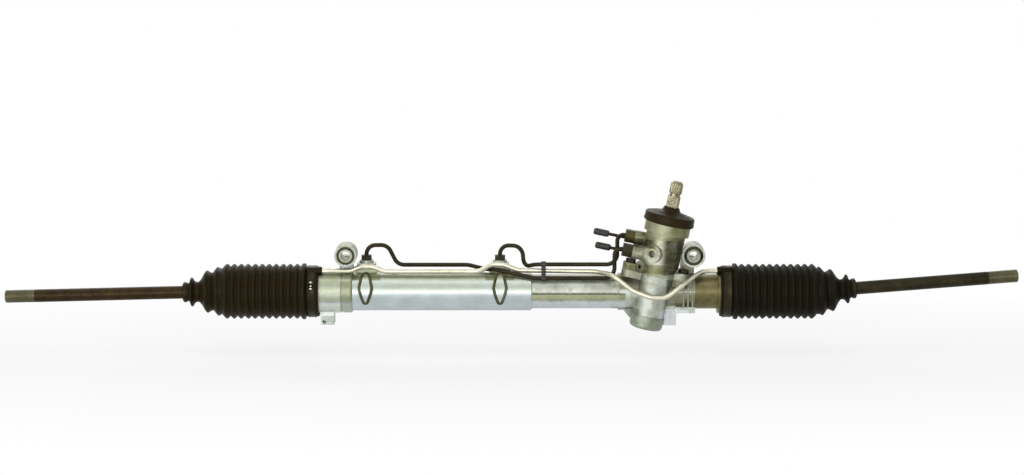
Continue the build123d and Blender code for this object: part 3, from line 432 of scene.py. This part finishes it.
# ---------------------------------------------------------------- materials
DRAWN = (0.03, 1, 1)        # stretch of a grain that runs along the rack
finishes = {
    "cast_aluminium": (cast_metal, dict(
        light=(0.58, 0.61, 0.55), dark=(0.34, 0.36, 0.29), stain=(0.19, 0.19, 0.09), patches=gear_painted_light_and_shade,
    )),
    "cylinder_steel": (turned_metal, dict(
        light=(0.58, 0.65, 0.66), dark=(0.48, 0.54, 0.53), stain=(0.36, 0.37, 0.27),
        rough=0.38, metallic=0.6, stretch=DRAWN, stain_from=0.62, patches=cylinder_painted_shade,
    )),
    "olive_steel": (turned_metal, dict(
        light=(0.20, 0.175, 0.068), dark=(0.10, 0.088, 0.030), stain=(0.035, 0.03, 0.010),
        rough=0.4, metallic=0.6, stain_from=0.52,
    )),
    "bright_steel": (turned_metal, dict(
        light=(0.60, 0.60, 0.58), dark=(0.45, 0.45, 0.43), stain=(0.28, 0.26, 0.20),
        rough=0.26, metallic=0.95,
    )),
    "dark_steel": (coated_steel, dict(
        base=(0.016, 0.013, 0.005), rust=(0.032, 0.025, 0.010), bare=(0.18, 0.17, 0.11),
    )),
    "rod_steel": (coated_steel, dict(
        base=(0.017, 0.009, 0.0022), rust=(0.042, 0.024, 0.006), bare=(0.14, 0.11, 0.055),
    )),
    "shaft_steel": (turned_metal, dict(
        light=(0.31, 0.285, 0.19), dark=(0.15, 0.135, 0.075), stain=(0.045, 0.04, 0.016),
        rough=0.26, metallic=0.9,
    )),
    "rubber": (moulded_rubber, dict(
        base=(0.0152, 0.0102, 0.0027), dust=(0.068, 0.048, 0.022), rough=0.44,
    )),
    "olive_rubber": (moulded_rubber, dict(
        base=(0.0072, 0.0060, 0.0018), dust=(0.036, 0.032, 0.014), rough=0.54,
    )),
    "seal_rubber": (moulded_rubber, dict(
        base=(0.010, 0.010, 0.008), dust=(0.06, 0.06, 0.05), rough=0.6,
    )),
    "nylon": (plain_moulding, dict(base=(0.72, 0.70, 0.60), rough=0.45)),
    "black_plastic": (plain_moulding, dict(base=(0.010, 0.010, 0.006), rough=0.4)),
    "balance_pipe": (turned_metal, dict(
        light=(0.70, 0.68, 0.55), dark=(0.54, 0.52, 0.38), stain=(0.28, 0.26, 0.12),
        rough=0.32, metallic=0.7, stretch=DRAWN, stain_from=0.54,
    )),
    "needle_steel": (turned_metal, dict(
        light=(0.55, 0.56, 0.57), dark=(0.42, 0.43, 0.44), stain=(0.25, 0.24, 0.22),
        rough=0.25, metallic=0.95,
    )),
    "worn_steel": (turned_metal, dict(
        light=(0.13, 0.12, 0.065), dark=(0.055, 0.05, 0.022), stain=(0.03, 0.025, 0.012),
        rough=0.4, metallic=0.8,
    )),
    "cap_rubber": (moulded_rubber, dict(
        base=(0.022, 0.015, 0.004), dust=(0.10, 0.078, 0.034), rough=0.42,
    )),
    # dark finish of the loops of painted shade round the port pads
    "bead_metal": (coated_steel, dict(
        base=(0.050, 0.050, 0.020), rust=(0.12, 0.12, 0.055), bare=(0.26, 0.27, 0.19),
    )),
    "grey_rod": (coated_steel, dict(
        base=(0.014, 0.012, 0.004), rust=(0.036, 0.031, 0.012), bare=(0.15, 0.14, 0.09),
    )),
    "valve_cast": (cast_metal, dict(
        light=(0.52, 0.54, 0.44), dark=(0.26, 0.27, 0.17), stain=(0.13, 0.125, 0.045),
        stain_from=0.47, patches=valve_painted_shade,
    )),
    "cap_cast": (cast_metal, dict(
        light=(0.34, 0.385, 0.31), dark=(0.21, 0.235, 0.17), stain=(0.13, 0.13, 0.056),
    )),
    "end_cast": (cast_metal, dict(
        light=(0.56, 0.61, 0.58), dark=(0.36, 0.39, 0.34), stain=(0.21, 0.21, 0.11), patches=end_painted_light_and_shade,
    )),
    "bush_rubber": (moulded_rubber, dict(
        base=(0.060, 0.060, 0.036), dust=(0.16, 0.16, 0.11), rough=0.6,
    )),
    "bush_steel": (turned_metal, dict(
        light=(0.36, 0.37, 0.28), dark=(0.20, 0.20, 0.13), stain=(0.07, 0.065, 0.03),
        rough=0.36, metallic=0.7,
    )),
    "union_steel": (turned_metal, dict(
        light=(0.090, 0.074, 0.017), dark=(0.045, 0.036, 0.008), stain=(0.025, 0.02, 0.006),
        rough=0.36, metallic=0.6, patches=[(NUT_BROWN, 0.85, LOWER_NUT)],
    )),
}
materials = {name: make(name, **settings) for name, (make, settings) in finishes.items()}

# nodes that get a finish of their own, and not their slot's
own_finish = {
    "right_tie_rod": "grey_rod",
    "valve_housing": "valve_cast",
    "bottom_cap": "cap_cast",
    "left_bush_rubber": "bush_rubber",
    "right_bush_rubber": "bush_rubber",
    "left_bush_sleeve": "bush_steel",
    "right_bush_sleeve": "bush_steel",
    "left_end_housing": "end_cast",
    "valve_nuts": "union_steel",
}


def dress(obj, material):
    obj.data.materials.clear()
    obj.data.materials.append(material)


for part in record["subparts"]:
    finish = own_finish.get(part["node"], part["material_slot"])
    dress(nodes[part["node"]], materials[finish])

# ---------------------------------------------------------------- mesh helpers
TUBE_SIDES = 12
CURVE_STEPS = 4             # pieces that a stretch of an outline is divided into
EDGE_WIDTH = 0.3 * MM
EDGE_SEGMENTS = 2
EDGE_ANGLE = math.radians(35)


def add_mesh(name, verts, faces, material, smooth=True):
    mesh = bpy.data.meshes.new(name)
    mesh.from_pydata([tuple(v) for v in verts], [], faces)
    mesh.update()
    for polygon in mesh.polygons:
        polygon.use_smooth = smooth
    mesh.materials.append(materials[material])
    obj = bpy.data.objects.new(name, mesh)
    bpy.context.scene.collection.objects.link(obj)
    return obj


def in_metres(outline):
    """Points of an outline in millimetres, in metres."""
    return [(a * MM, b * MM) for a, b in outline]


def across(axis):
    """Two unit vectors square to an axis; the first points as far down -Y as it can."""
    first = (-Y - axis * (-Y).dot(axis)).normalized()
    return first, axis.cross(first).normalized()


def grid_faces(rings, sides, close_rings=False):
    """Faces between rings of points; the last ring may join the first."""
    faces = []
    last = rings if close_rings else rings - 1
    for i in range(last):
        j = (i + 1) % rings
        for k in range(sides):
            m = (k + 1) % sides
            faces.append((i * sides + k, i * sides + m, j * sides + m, j * sides + k))
    return faces


def revolve(name, profile, origin, axis, material, sides=96, closed=True, wobble=None):
    """Surface of revolution: profile is a list of (distance along the axis, radius)."""
    first, second = across(axis)
    verts = []
    for u, r in profile:
        for k in range(sides):
            turn = 2 * math.pi * k / sides
            radial = first * math.cos(turn) + second * math.sin(turn)
            shift = wobble(u, r, turn) if wobble else 0.0
            verts.append(origin + axis * (u + shift) + radial * r)
    return add_mesh(name, verts, grid_faces(len(profile), sides, closed), material)


def rounded(points):
    """Smooth curve through the points (Catmull-Rom)."""
    out = []
    for i in range(len(points) - 1):
        p0 = points[max(i - 1, 0)]
        p1, p2 = points[i], points[i + 1]
        p3 = points[min(i + 2, len(points) - 1)]
        for step in range(CURVE_STEPS):
            t = step / CURVE_STEPS
            point = []
            for a, b, c, d in zip(p0, p1, p2, p3):
                square = (2 * a - 5 * b + 4 * c - d) * t**2
                cube = (3 * b - 3 * c + d - a) * t**3
                point.append(0.5 * (2 * b + (c - a) * t + square + cube))
            out.append(tuple(point))
    out.append(tuple(points[-1]))
    return out


def tube(name, points, radius, material, closed=False):
    """Round bead or wire along 3-D points."""
    count = len(points)
    verts = []
    side = None
    for i, point in enumerate(points):
        before = points[i - 1] if i or closed else points[0]
        after = points[(i + 1) % count] if i + 1 < count or closed else points[-1]
        along = (after - before).normalized()
        if side is None:
            side = along.orthogonal().normalized()
        side = (side - along * side.dot(along)).normalized()
        other = along.cross(side)
        for k in range(TUBE_SIDES):
            turn = 2 * math.pi * k / TUBE_SIDES
            verts.append(point + (side * math.cos(turn) + other * math.sin(turn)) * radius)
    faces = grid_faces(count, TUBE_SIDES, closed)
    if not closed:
        faces.append(tuple(range(TUBE_SIDES))[::-1])
        faces.append(tuple(range((count - 1) * TUBE_SIDES, count * TUBE_SIDES)))
    return add_mesh(name, verts, faces, material)


def prism(name, outline, origin, axis, up, length, material):
    """Straight prism with small bevels: outline is a list of (right, up) points across the axis."""
    second = (up - axis * up.dot(axis)).normalized()
    first = second.cross(axis).normalized()
    count = len(outline)
    verts = []
    for u in (0.0, length):
        verts += [origin + axis * u + first * a + second * b for a, b in outline]
    faces = [tuple(range(count))[::-1], tuple(range(count, 2 * count))]
    faces += [(k, (k + 1) % count, count + (k + 1) % count, count + k) for k in range(count)]
    obj = add_mesh(name, verts, faces, material, smooth=False)
    modifier = obj.modifiers.new("bevel", "BEVEL")
    modifier.width = EDGE_WIDTH
    modifier.segments = EDGE_SEGMENTS
    modifier.limit_method = "ANGLE"
    modifier.angle_limit = EDGE_ANGLE
    return obj


# ---------------------------------------------------------------- bellows
BIG_END = 109 * MM          # from the ball centre to the housing's stop face
COLLAR = 94 * MM            # from the ball centre to the inboard end of the lip
LIP = 90 * MM               # and to its outboard end
CREST = 31.0 * MM
VALLEY = 28.1 * MM
PITCH = 7.9 * MM
CRESTS = 11
FOLD_POINTS = 12            # points of the profile in one fold
FOLD_SHAPE = 0.8            # under 1, the crests are wider than the valleys
FIRST = 5 * MM              # from the ball centre to the first crest
SEAM = 26.0 * MM            # radius of the sphere on which the two pieces meet
SEAM_AT = (-0.6 * MM, 0.6 * MM, 1.8 * MM)   # places of the profile's points on that sphere
FOLDS_END = -3 * MM         # where the wall inside the folds ends
WALL = 1.6 * MM
CORNER = 0.6 * MM
COLLAR_R = 28.5 * MM
LIP_R = 31.6 * MM
SPIGOT_R = 23.6 * MM
MOST_TILT = 0.5 * MM        # how far a crest leans out of its plane
SEEDS = {"left": 3, "right": 7}
bellows_finish = {"left": "rubber", "right": "olive_rubber"}


def inner_profile():
    """Closed section of the part between the ball centre and the housing."""
    outside = [(-BIG_END, COLLAR_R - CORNER), (-BIG_END + CORNER, COLLAR_R), (-COLLAR, COLLAR_R)]
    outside += [(-COLLAR, CREST), (-COLLAR + CORNER, LIP_R), (-LIP - CORNER, LIP_R), (-LIP, CREST)]
    low = -FIRST - (CRESTS - 0.5) * PITCH
    for i in range(CRESTS * FOLD_POINTS + 1):
        wave = 0.5 - 0.5 * math.cos(2 * math.pi * i / FOLD_POINTS)
        outside.append((low + i * PITCH / FOLD_POINTS, VALLEY + (CREST - VALLEY) * wave**FOLD_SHAPE))
    outside += [(u, math.sqrt(SEAM**2 - u**2)) for u in SEAM_AT]
    inside = [(SEAM_AT[-1], SEAM - WALL), (FOLDS_END, VALLEY - WALL), (low, VALLEY - WALL)]
    inside += [(-LIP, SPIGOT_R), (-BIG_END, SPIGOT_R)]
    return outside + inside


def outer_profile():
    """Closed section of the part between the ball centre and the tie rod."""
    outline = [
        (-1.8, 25.85), (0, 25.9), (2.6, 26.3), (5.2, 27.6), (7.6, 25.4), (11, 21.4), (14.2, 22.2),
        (17.2, 23.9), (19.6, 22.2), (23, 16.4), (26.4, 12.1), (29.0, 11.4), (31.6, 12.6), (33.6, 15.6),
        (35.0, 16.5), (36.2, 15.4), (37.2, 11.9), (38.6, 10.5), (41, 10.45), (44, 10.4), (45, 9.8),
    ]
    inside = [(45, 7.4), (39, 7.4), (27, 9.8), (18, 19), (5, 23.6), (-1.8, 24.2)]
    return rounded(in_metres(outline)) + in_metres(inside)


def add_bellows(side, ball, rod):
    """Rubber bellows in two pieces that meet on a sphere round the ball centre."""
    outboard = X * SIGN[side]
    shuffle = random.Random(SEEDS[side])
    tilt = []
    for _ in range(CRESTS + 2):
        tilt.append((shuffle.uniform(-MOST_TILT, MOST_TILT), shuffle.uniform(0, 2 * math.pi)))

    def sag(u, r, turn):
        if r < VALLEY or u < -COLLAR:
            return 0.0
        index = min(max(int((-u - FIRST) / PITCH + 0.5), 0), CRESTS)
        size, phase = tilt[index]
        return size * math.cos(turn - phase) * (r - VALLEY) / (CREST - VALLEY)

    rubber = bellows_finish[side]
    inner = revolve(f"{side}_bellows_folds", inner_profile(), ball, outboard, rubber, sides=112, wobble=sag)
    outer = revolve(f"{side}_bellows_nose", outer_profile(), ball, rod, rubber)
    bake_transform(inner)
    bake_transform(outer)
    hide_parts(f"{side}_bellows")
    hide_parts(f"{side}_bellows")


# ---------------------------------------------------------------- breather spouts
SPOUT_BACK = 4 * MM         # how far the spout starts inboard of the bellows
TUBE_END = 0.2 * MM         # depth of the balance tube's end that its middle is taken from


def add_breather(side, ball):
    """Moulded spout on the collar that takes the balance tube."""
    sign = SIGN[side]
    low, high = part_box("balance_tube")
    end_x = high.x if sign > 0 else low.x
    co = [v.co for v in nodes["balance_tube"].data.vertices if abs(v.co.x - end_x) < TUBE_END]
    middle = sum((Vector(c) for c in co), Vector()) / len(co)
    start = Vector((ball.x - sign * (BIG_END + SPOUT_BACK), middle.y, middle.z))
    profile = [
        (0, 2.85), (0, 4.2), (0.5, 4.8), (2.2, 4.8), (2.8, 4.3), (15.5, 4.3), (18.5, 3.4), (18.5, 2.85),
    ]
    spout = revolve(f"{side}_spout", in_metres(profile), start, X * sign, bellows_finish[side], sides=32)
    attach(spout, "housing")


# ---------------------------------------------------------------- large clamps
BAND_AT = 7.5 * MM          # from the bellows' inboard end to the middle of the band
EAR_TURN = {"left": 21, "right": 160}       # degrees up from the front
EAR_FOOT = 29 * MM
EAR_LENGTH = 5.2 * MM
EAR_GAP = 2.0 * MM          # half the distance between the ears
EAR_WIDE = 3.6              # half sizes of an ear's section, in millimetres
EAR_THICK = 0.5
SCREW_AT = 31.8 * MM
SCREW_SEAT = 2.5 * MM
SCREW_REACH = 3 * MM
SCREW_R = 1.1 * MM


def add_large_clamp(side, ball):
    """Band with a pinched ear and its bright screw, in place of the plain ring."""
    sign = SIGN[side]
    centre = Vector((ball.x - sign * (BIG_END - BAND_AT), ball.y, ball.z))
    half = [(4.4, 28.55), (4.4, 29.2), (3.7, 29.7), (3.0, 29.2)]
    band = [(-u, r) for u, r in half] + half[::-1]
    ring = revolve(f"{side}_band", in_metres(band), centre, X * sign, "dark_steel", sides=128)
    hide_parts(f"{side}_large_clamp")
    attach(ring, "housing")
    turn = math.radians(EAR_TURN[side])
    out = (-Y * math.cos(turn) + Z * math.sin(turn)).normalized()
    round_it = out.cross(X).normalized()
    corners = ((-1, -1), (1, -1), (1, 1), (-1, 1))
    section = in_metres([(a * EAR_WIDE, b * EAR_THICK) for a, b in corners])
    for name, way in (("ear_low", -1), ("ear_high", 1)):
        foot = centre + out * EAR_FOOT + round_it * way * EAR_GAP
        ear = prism(f"{side}_{name}", section, foot, out, round_it, EAR_LENGTH, "dark_steel")
        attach(ear, "housing")
    head = in_metres([(0, 0.0), (0, 1.2), (0.3, 2.2), (1.6, 2.2), (2.1, 1.7), (2.1, 0.0)])
    screw_at = centre + out * SCREW_AT
    for name, way in (("screw_head", 1), ("screw_nut", -1)):
        facing = round_it * way
        seat = screw_at + facing * SCREW_SEAT
        end = revolve(f"{side}_{name}", head, seat, facing, "bright_steel", sides=24, closed=False)
        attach(end, "housing")
    reach = round_it * SCREW_REACH
    shank = tube(f"{side}_screw", [screw_at - reach, screw_at + reach], SCREW_R, "bright_steel")
    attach(shank, "housing")


for side, ball, rod in (("left", ball_left, rod_left), ("right", ball_right, rod_right)):
    add_bellows(side, ball, rod)
    add_breather(side, ball)
    add_large_clamp(side, ball)

# ---------------------------------------------------------------- threads and splines
THREAD_PITCH = 1.5 * MM
THREAD_ROOT = 6.99 * MM
THREAD_CREST = 7.32 * MM
THREAD_SIDES = 40
THREAD_RINGS = 6            # rings of points in one turn of the thread
TIP_FADE = 0.15             # share of its height that the thread keeps at the very tip
ROD_R = 7.5 * MM


def add_thread(name, tip, axis, length):
    """Screw thread that ends at the tip and runs back along the axis."""
    first, second = across(axis)
    rings = int(length / THREAD_PITCH * THREAD_RINGS) + 1
    verts = []
    for i in range(rings):
        u = -length + length * i / (rings - 1)
        fade = min(1.0, (u + length) / THREAD_PITCH, -u / THREAD_PITCH + TIP_FADE)
        for k in range(THREAD_SIDES):
            phase = (u / THREAD_PITCH - k / THREAD_SIDES) % 1.0
            height = 1 - abs(2 * phase - 1)
            r = THREAD_ROOT + (THREAD_CREST - THREAD_ROOT) * height * fade
            turn = 2 * math.pi * k / THREAD_SIDES
            verts.append(tip + axis * u + (first * math.cos(turn) + second * math.sin(turn)) * r)
    return add_mesh(name, verts, grid_faces(rings, THREAD_SIDES), "worn_steel", smooth=False)


rod_tips = {}
for side, axis in (("left", rod_left), ("right", rod_right)):
    mount = mounts[f"{side}_tie_rod_end"]
    half = mount["dims"]["length_mm"] / 2 * MM
    tip = Vector(mount["pos_m"]) + axis * half
    rod_tips[side] = tip
    thread = add_thread(f"{side}_thread", tip, axis, 2 * half)
    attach(thread, f"{side}_rod")

TEETH = 36
SHAFT_R = 6.81              # millimetres, as all sizes of the serration
TOOTH_RADII = (6.82, 7.12, 7.12, 6.82)
RUN_OUT = 0.9               # length over which a tooth fades at each end
LOWER_SPLINE = (99.5, 113.2)                # heights over the pinion
UPPER_SPLINE = (116.8, 127.6)


def add_spline(name, low, high):
    """Serrated sleeve on the input shaft between two heights over the pinion."""
    first, second = across(tower_up)
    corners = len(TOOTH_RADII)
    sides = TEETH * corners
    ends = ((low, 0.0), (low + RUN_OUT, 1.0), (high - RUN_OUT, 1.0), (high, 0.0))
    verts = []
    for height, full in ends:
        for k in range(sides):
            turn = 2 * math.pi * k / sides
            r = SHAFT_R + (TOOTH_RADII[k % corners] - SHAFT_R) * full
            radial = first * math.cos(turn) + second * math.sin(turn)
            verts.append(pinion_at + tower_up * height * MM + radial * r * MM)
    obj = add_mesh(name, verts, grid_faces(len(ends), sides), "shaft_steel", smooth=False)
    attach(obj, "input")


add_spline("lower_spline", *LOWER_SPLINE)
add_spline("upper_spline", *UPPER_SPLINE)

# ---------------------------------------------------------------- dust cap


def add_dust_cap():
    """Rubber cap with a rolled rim and rings, over the top of the valve housing."""
    outline = [
        (83.1, 25.6), (82.2, 26.2), (82.0, 27.2), (82.8, 28.2), (84.6, 28.5), (86.4, 28.1), (88.4, 27.9),
        (90.6, 28.0), (92.0, 27.3), (92.7, 25.8), (93.0, 23.4), (94.0, 20.4), (94.2, 18.8), (93.6, 17.4),
        (94.4, 15.8), (95.6, 13.2), (96.4, 11.0), (98.6, 9.4), (100.4, 8.7), (100.9, 8.0), (100.6, 7.4),
    ]
    inside = [(99, 7.2), (84, 7.2), (83.1, 12)]
    profile = rounded(in_metres(outline)) + in_metres(inside)
    cap = revolve("dust_cap_moulding", profile, pinion_at, tower_up, "cap_rubber")
    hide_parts("dust_cap")
    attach(cap, "housing")


add_dust_cap()

# ---------------------------------------------------------------- dark loops of painted shade round the port pads, and weld
SHADE_LOOP_LIES = 22.6 * MM       # radius round the rack axis on which the dark loop of painted shade round a port pad lies
SHADE_LOOP_R = 1.7 * MM
WELD_BACK = 0.2 * MM        # how far the weld's middle lies inside the cylinder's end
WELD_RING_R = 19.6 * MM
WELD_R = 0.9 * MM
WELD_STRETCH = 1.4          # width of the weld over its height
WELD_POINTS = 12


def add_port_shade_loop(name, x):
    """Thin dark tube round the teardrop pad in front of a cylinder port: painted shade along the pad's outline."""
    half = [
        (0.0, -10.2), (1.9, -9.6), (4.4, -3.0), (6.5, 4.0), (6.9, 8.0), (5.8, 13.5), (4.2, 19.0), (2.2, 21.2),
    ]
    loop = half + [(-a, b) for a, b in reversed(half[1:])]
    points = []
    for a, b in in_metres(rounded(loop + [loop[0]])[:-1]):
        points.append(Vector((x + a, axis_y - math.sqrt(SHADE_LOOP_LIES**2 - b**2), axis_z + b)))
    shade_loop = tube(name, points, SHADE_LOOP_R, "bead_metal", closed=True)
    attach(shade_loop, "housing")


def add_cylinder_weld():
    """Weld ring round the rack axis at the cylinder's end."""
    centre = Vector((cylinder_high.x - WELD_BACK, axis_y, axis_z))
    turns = [2 * math.pi * i / WELD_POINTS for i in range(WELD_POINTS)]
    section = [(WELD_R * math.cos(t) * WELD_STRETCH, WELD_RING_R + WELD_R * math.sin(t)) for t in turns]
    ring = revolve("cylinder_weld", section, centre, X, "cylinder_steel")
    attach(ring, "housing")


# dark tubes of painted shade round the two port pads
add_port_shade_loop("left_port_shade_loop", port_left)
add_port_shade_loop("right_port_shade_loop", port_right)
add_cylinder_weld()

# ---------------------------------------------------------------- floor, light and world
FLOOR_HALF = 14.0
FLOOR_GAP = 1 * MM          # under the lowest place that a tie rod reaches
FLOOR_COLOUR = (0.93, 0.93, 0.93, 1)
GLOW_WIDE = (0.35, 1, 0)    # the dimmer spot under the rack is longer along X than along Y
GLOW_FROM = 0.10            # distances between which the floor gets lighter
GLOW_TO = 0.45
GLOW_LEAST = 0.82           # share of plain white that the floor has next to the rack
WORLD_COLOUR = (0.93, 0.96, 1.0, 1)
WORLD_STRENGTH = 0.22
PLAIN_WHITE = (1, 1, 1, 1)
AIM = (0, 0, -0.04)
LAMPS = {                   # place, width and height, watts
    "key": ((-0.7, -1.9, 0.24), (2.2, 0.26), 24),
    "top": ((-0.3, -0.5, 1.6), (2.0, 0.45), 7),
    "rim": ((-0.4, 1.4, 0.9), (1.6, 0.4), 8),
}


def floor_level():
    """Height just under the lowest point that a tie rod reaches at the limits of its swing."""
    lowest = cad_box[0].z
    for side, ball in (("left", ball_left), ("right", ball_right)):
        joint = joints[f"{side}_rod_swing"]
        for degrees in joint["range_deg"]:
            turn = Matrix.Rotation(math.radians(degrees), 3, Vector(joint["axis"]))
            lowest = min(lowest, (ball + turn @ (rod_tips[side] - ball)).z - ROD_R)
    return lowest - FLOOR_GAP


def background_rays(tree):
    """1 for the rays that see the white background: camera, glossy and transmission rays."""
    path = tree.nodes.new("ShaderNodeLightPath")
    seen = path.outputs["Is Camera Ray"]
    for ray in ("Is Glossy Ray", "Is Transmission Ray"):
        either = tree.nodes.new("ShaderNodeMath")
        either.operation = "MAXIMUM"
        tree.links.new(seen, either.inputs[0])
        tree.links.new(path.outputs[ray], either.inputs[1])
        seen = either.outputs[0]
    return seen


def mix_shaders(tree, factor, first, second, out):
    """Blend two shaders into an output node."""
    mix = tree.nodes.new("ShaderNodeMixShader")
    for socket, source in zip(mix.inputs, (factor, first.outputs[0], second.outputs[0])):
        tree.links.new(source, socket)
    tree.links.new(mix.outputs[0], out.inputs[0])


def floor_material():
    """Pale floor that takes shadows and looks white from afar."""
    t = Tree("floor")
    diffuse = t.add("ShaderNodeBsdfDiffuse", Color=FLOOR_COLOUR)
    glow = t.add("ShaderNodeEmission", Color=PLAIN_WHITE, Strength=1.0)
    distance = t.tree.nodes.new("ShaderNodeVectorMath")
    distance.operation = "LENGTH"
    t.feed(distance.inputs[0], t.place(GLOW_WIDE))
    far = t.add("ShaderNodeMapRange", Value=distance.outputs["Value"])
    far.inputs["From Min"].default_value = GLOW_FROM
    far.inputs["From Max"].default_value = GLOW_TO
    far.inputs["To Min"].default_value = GLOW_LEAST
    far.inputs["To Max"].default_value = 1.0
    factor = t.math("MULTIPLY", background_rays(t.tree), far.outputs[0])
    mix_shaders(t.tree, factor, diffuse, glow, t.out)
    return t.material


def add_floor():
    level = floor_level()
    mesh = bpy.data.meshes.new("floor")
    corners = [(a * FLOOR_HALF, b * FLOOR_HALF, level) for a, b in ((-1, -1), (1, -1), (1, 1), (-1, 1))]
    mesh.from_pydata(corners, [], [(0, 1, 2, 3)])
    mesh.materials.append(floor_material())
    floor = bpy.data.objects.new("floor", mesh)
    bpy.context.scene.collection.objects.link(floor)


def add_world():
    """Dim sky for light, and white where the background is seen."""
    world = bpy.data.worlds.new("world")
    bpy.context.scene.world = world
    world.use_nodes = True
    tree = world.node_tree
    tree.nodes.clear()
    out = tree.nodes.new("ShaderNodeOutputWorld")
    lit = tree.nodes.new("ShaderNodeBackground")
    lit.inputs["Color"].default_value = WORLD_COLOUR
    lit.inputs["Strength"].default_value = WORLD_STRENGTH
    white = tree.nodes.new("ShaderNodeBackground")
    white.inputs["Color"].default_value = PLAIN_WHITE
    white.inputs["Strength"].default_value = 1.0
    mix_shaders(tree, background_rays(tree), lit, white, out)


def add_lamp(name, place, size, power):
    data = bpy.data.lights.new(name, "AREA")
    data.shape = "RECTANGLE"
    data.size, data.size_y = size
    data.energy = power
    lamp = bpy.data.objects.new(name, data)
    lamp.location = place
    lamp.rotation_euler = (Vector(AIM) - Vector(place)).to_track_quat("-Z", "Y").to_euler()
    bpy.context.scene.collection.objects.link(lamp)


add_floor()
add_world()
for name, (place, size, power) in LAMPS.items():
    add_lamp(name, place, size, power)

bpy.context.scene.view_settings.view_transform = "Standard"
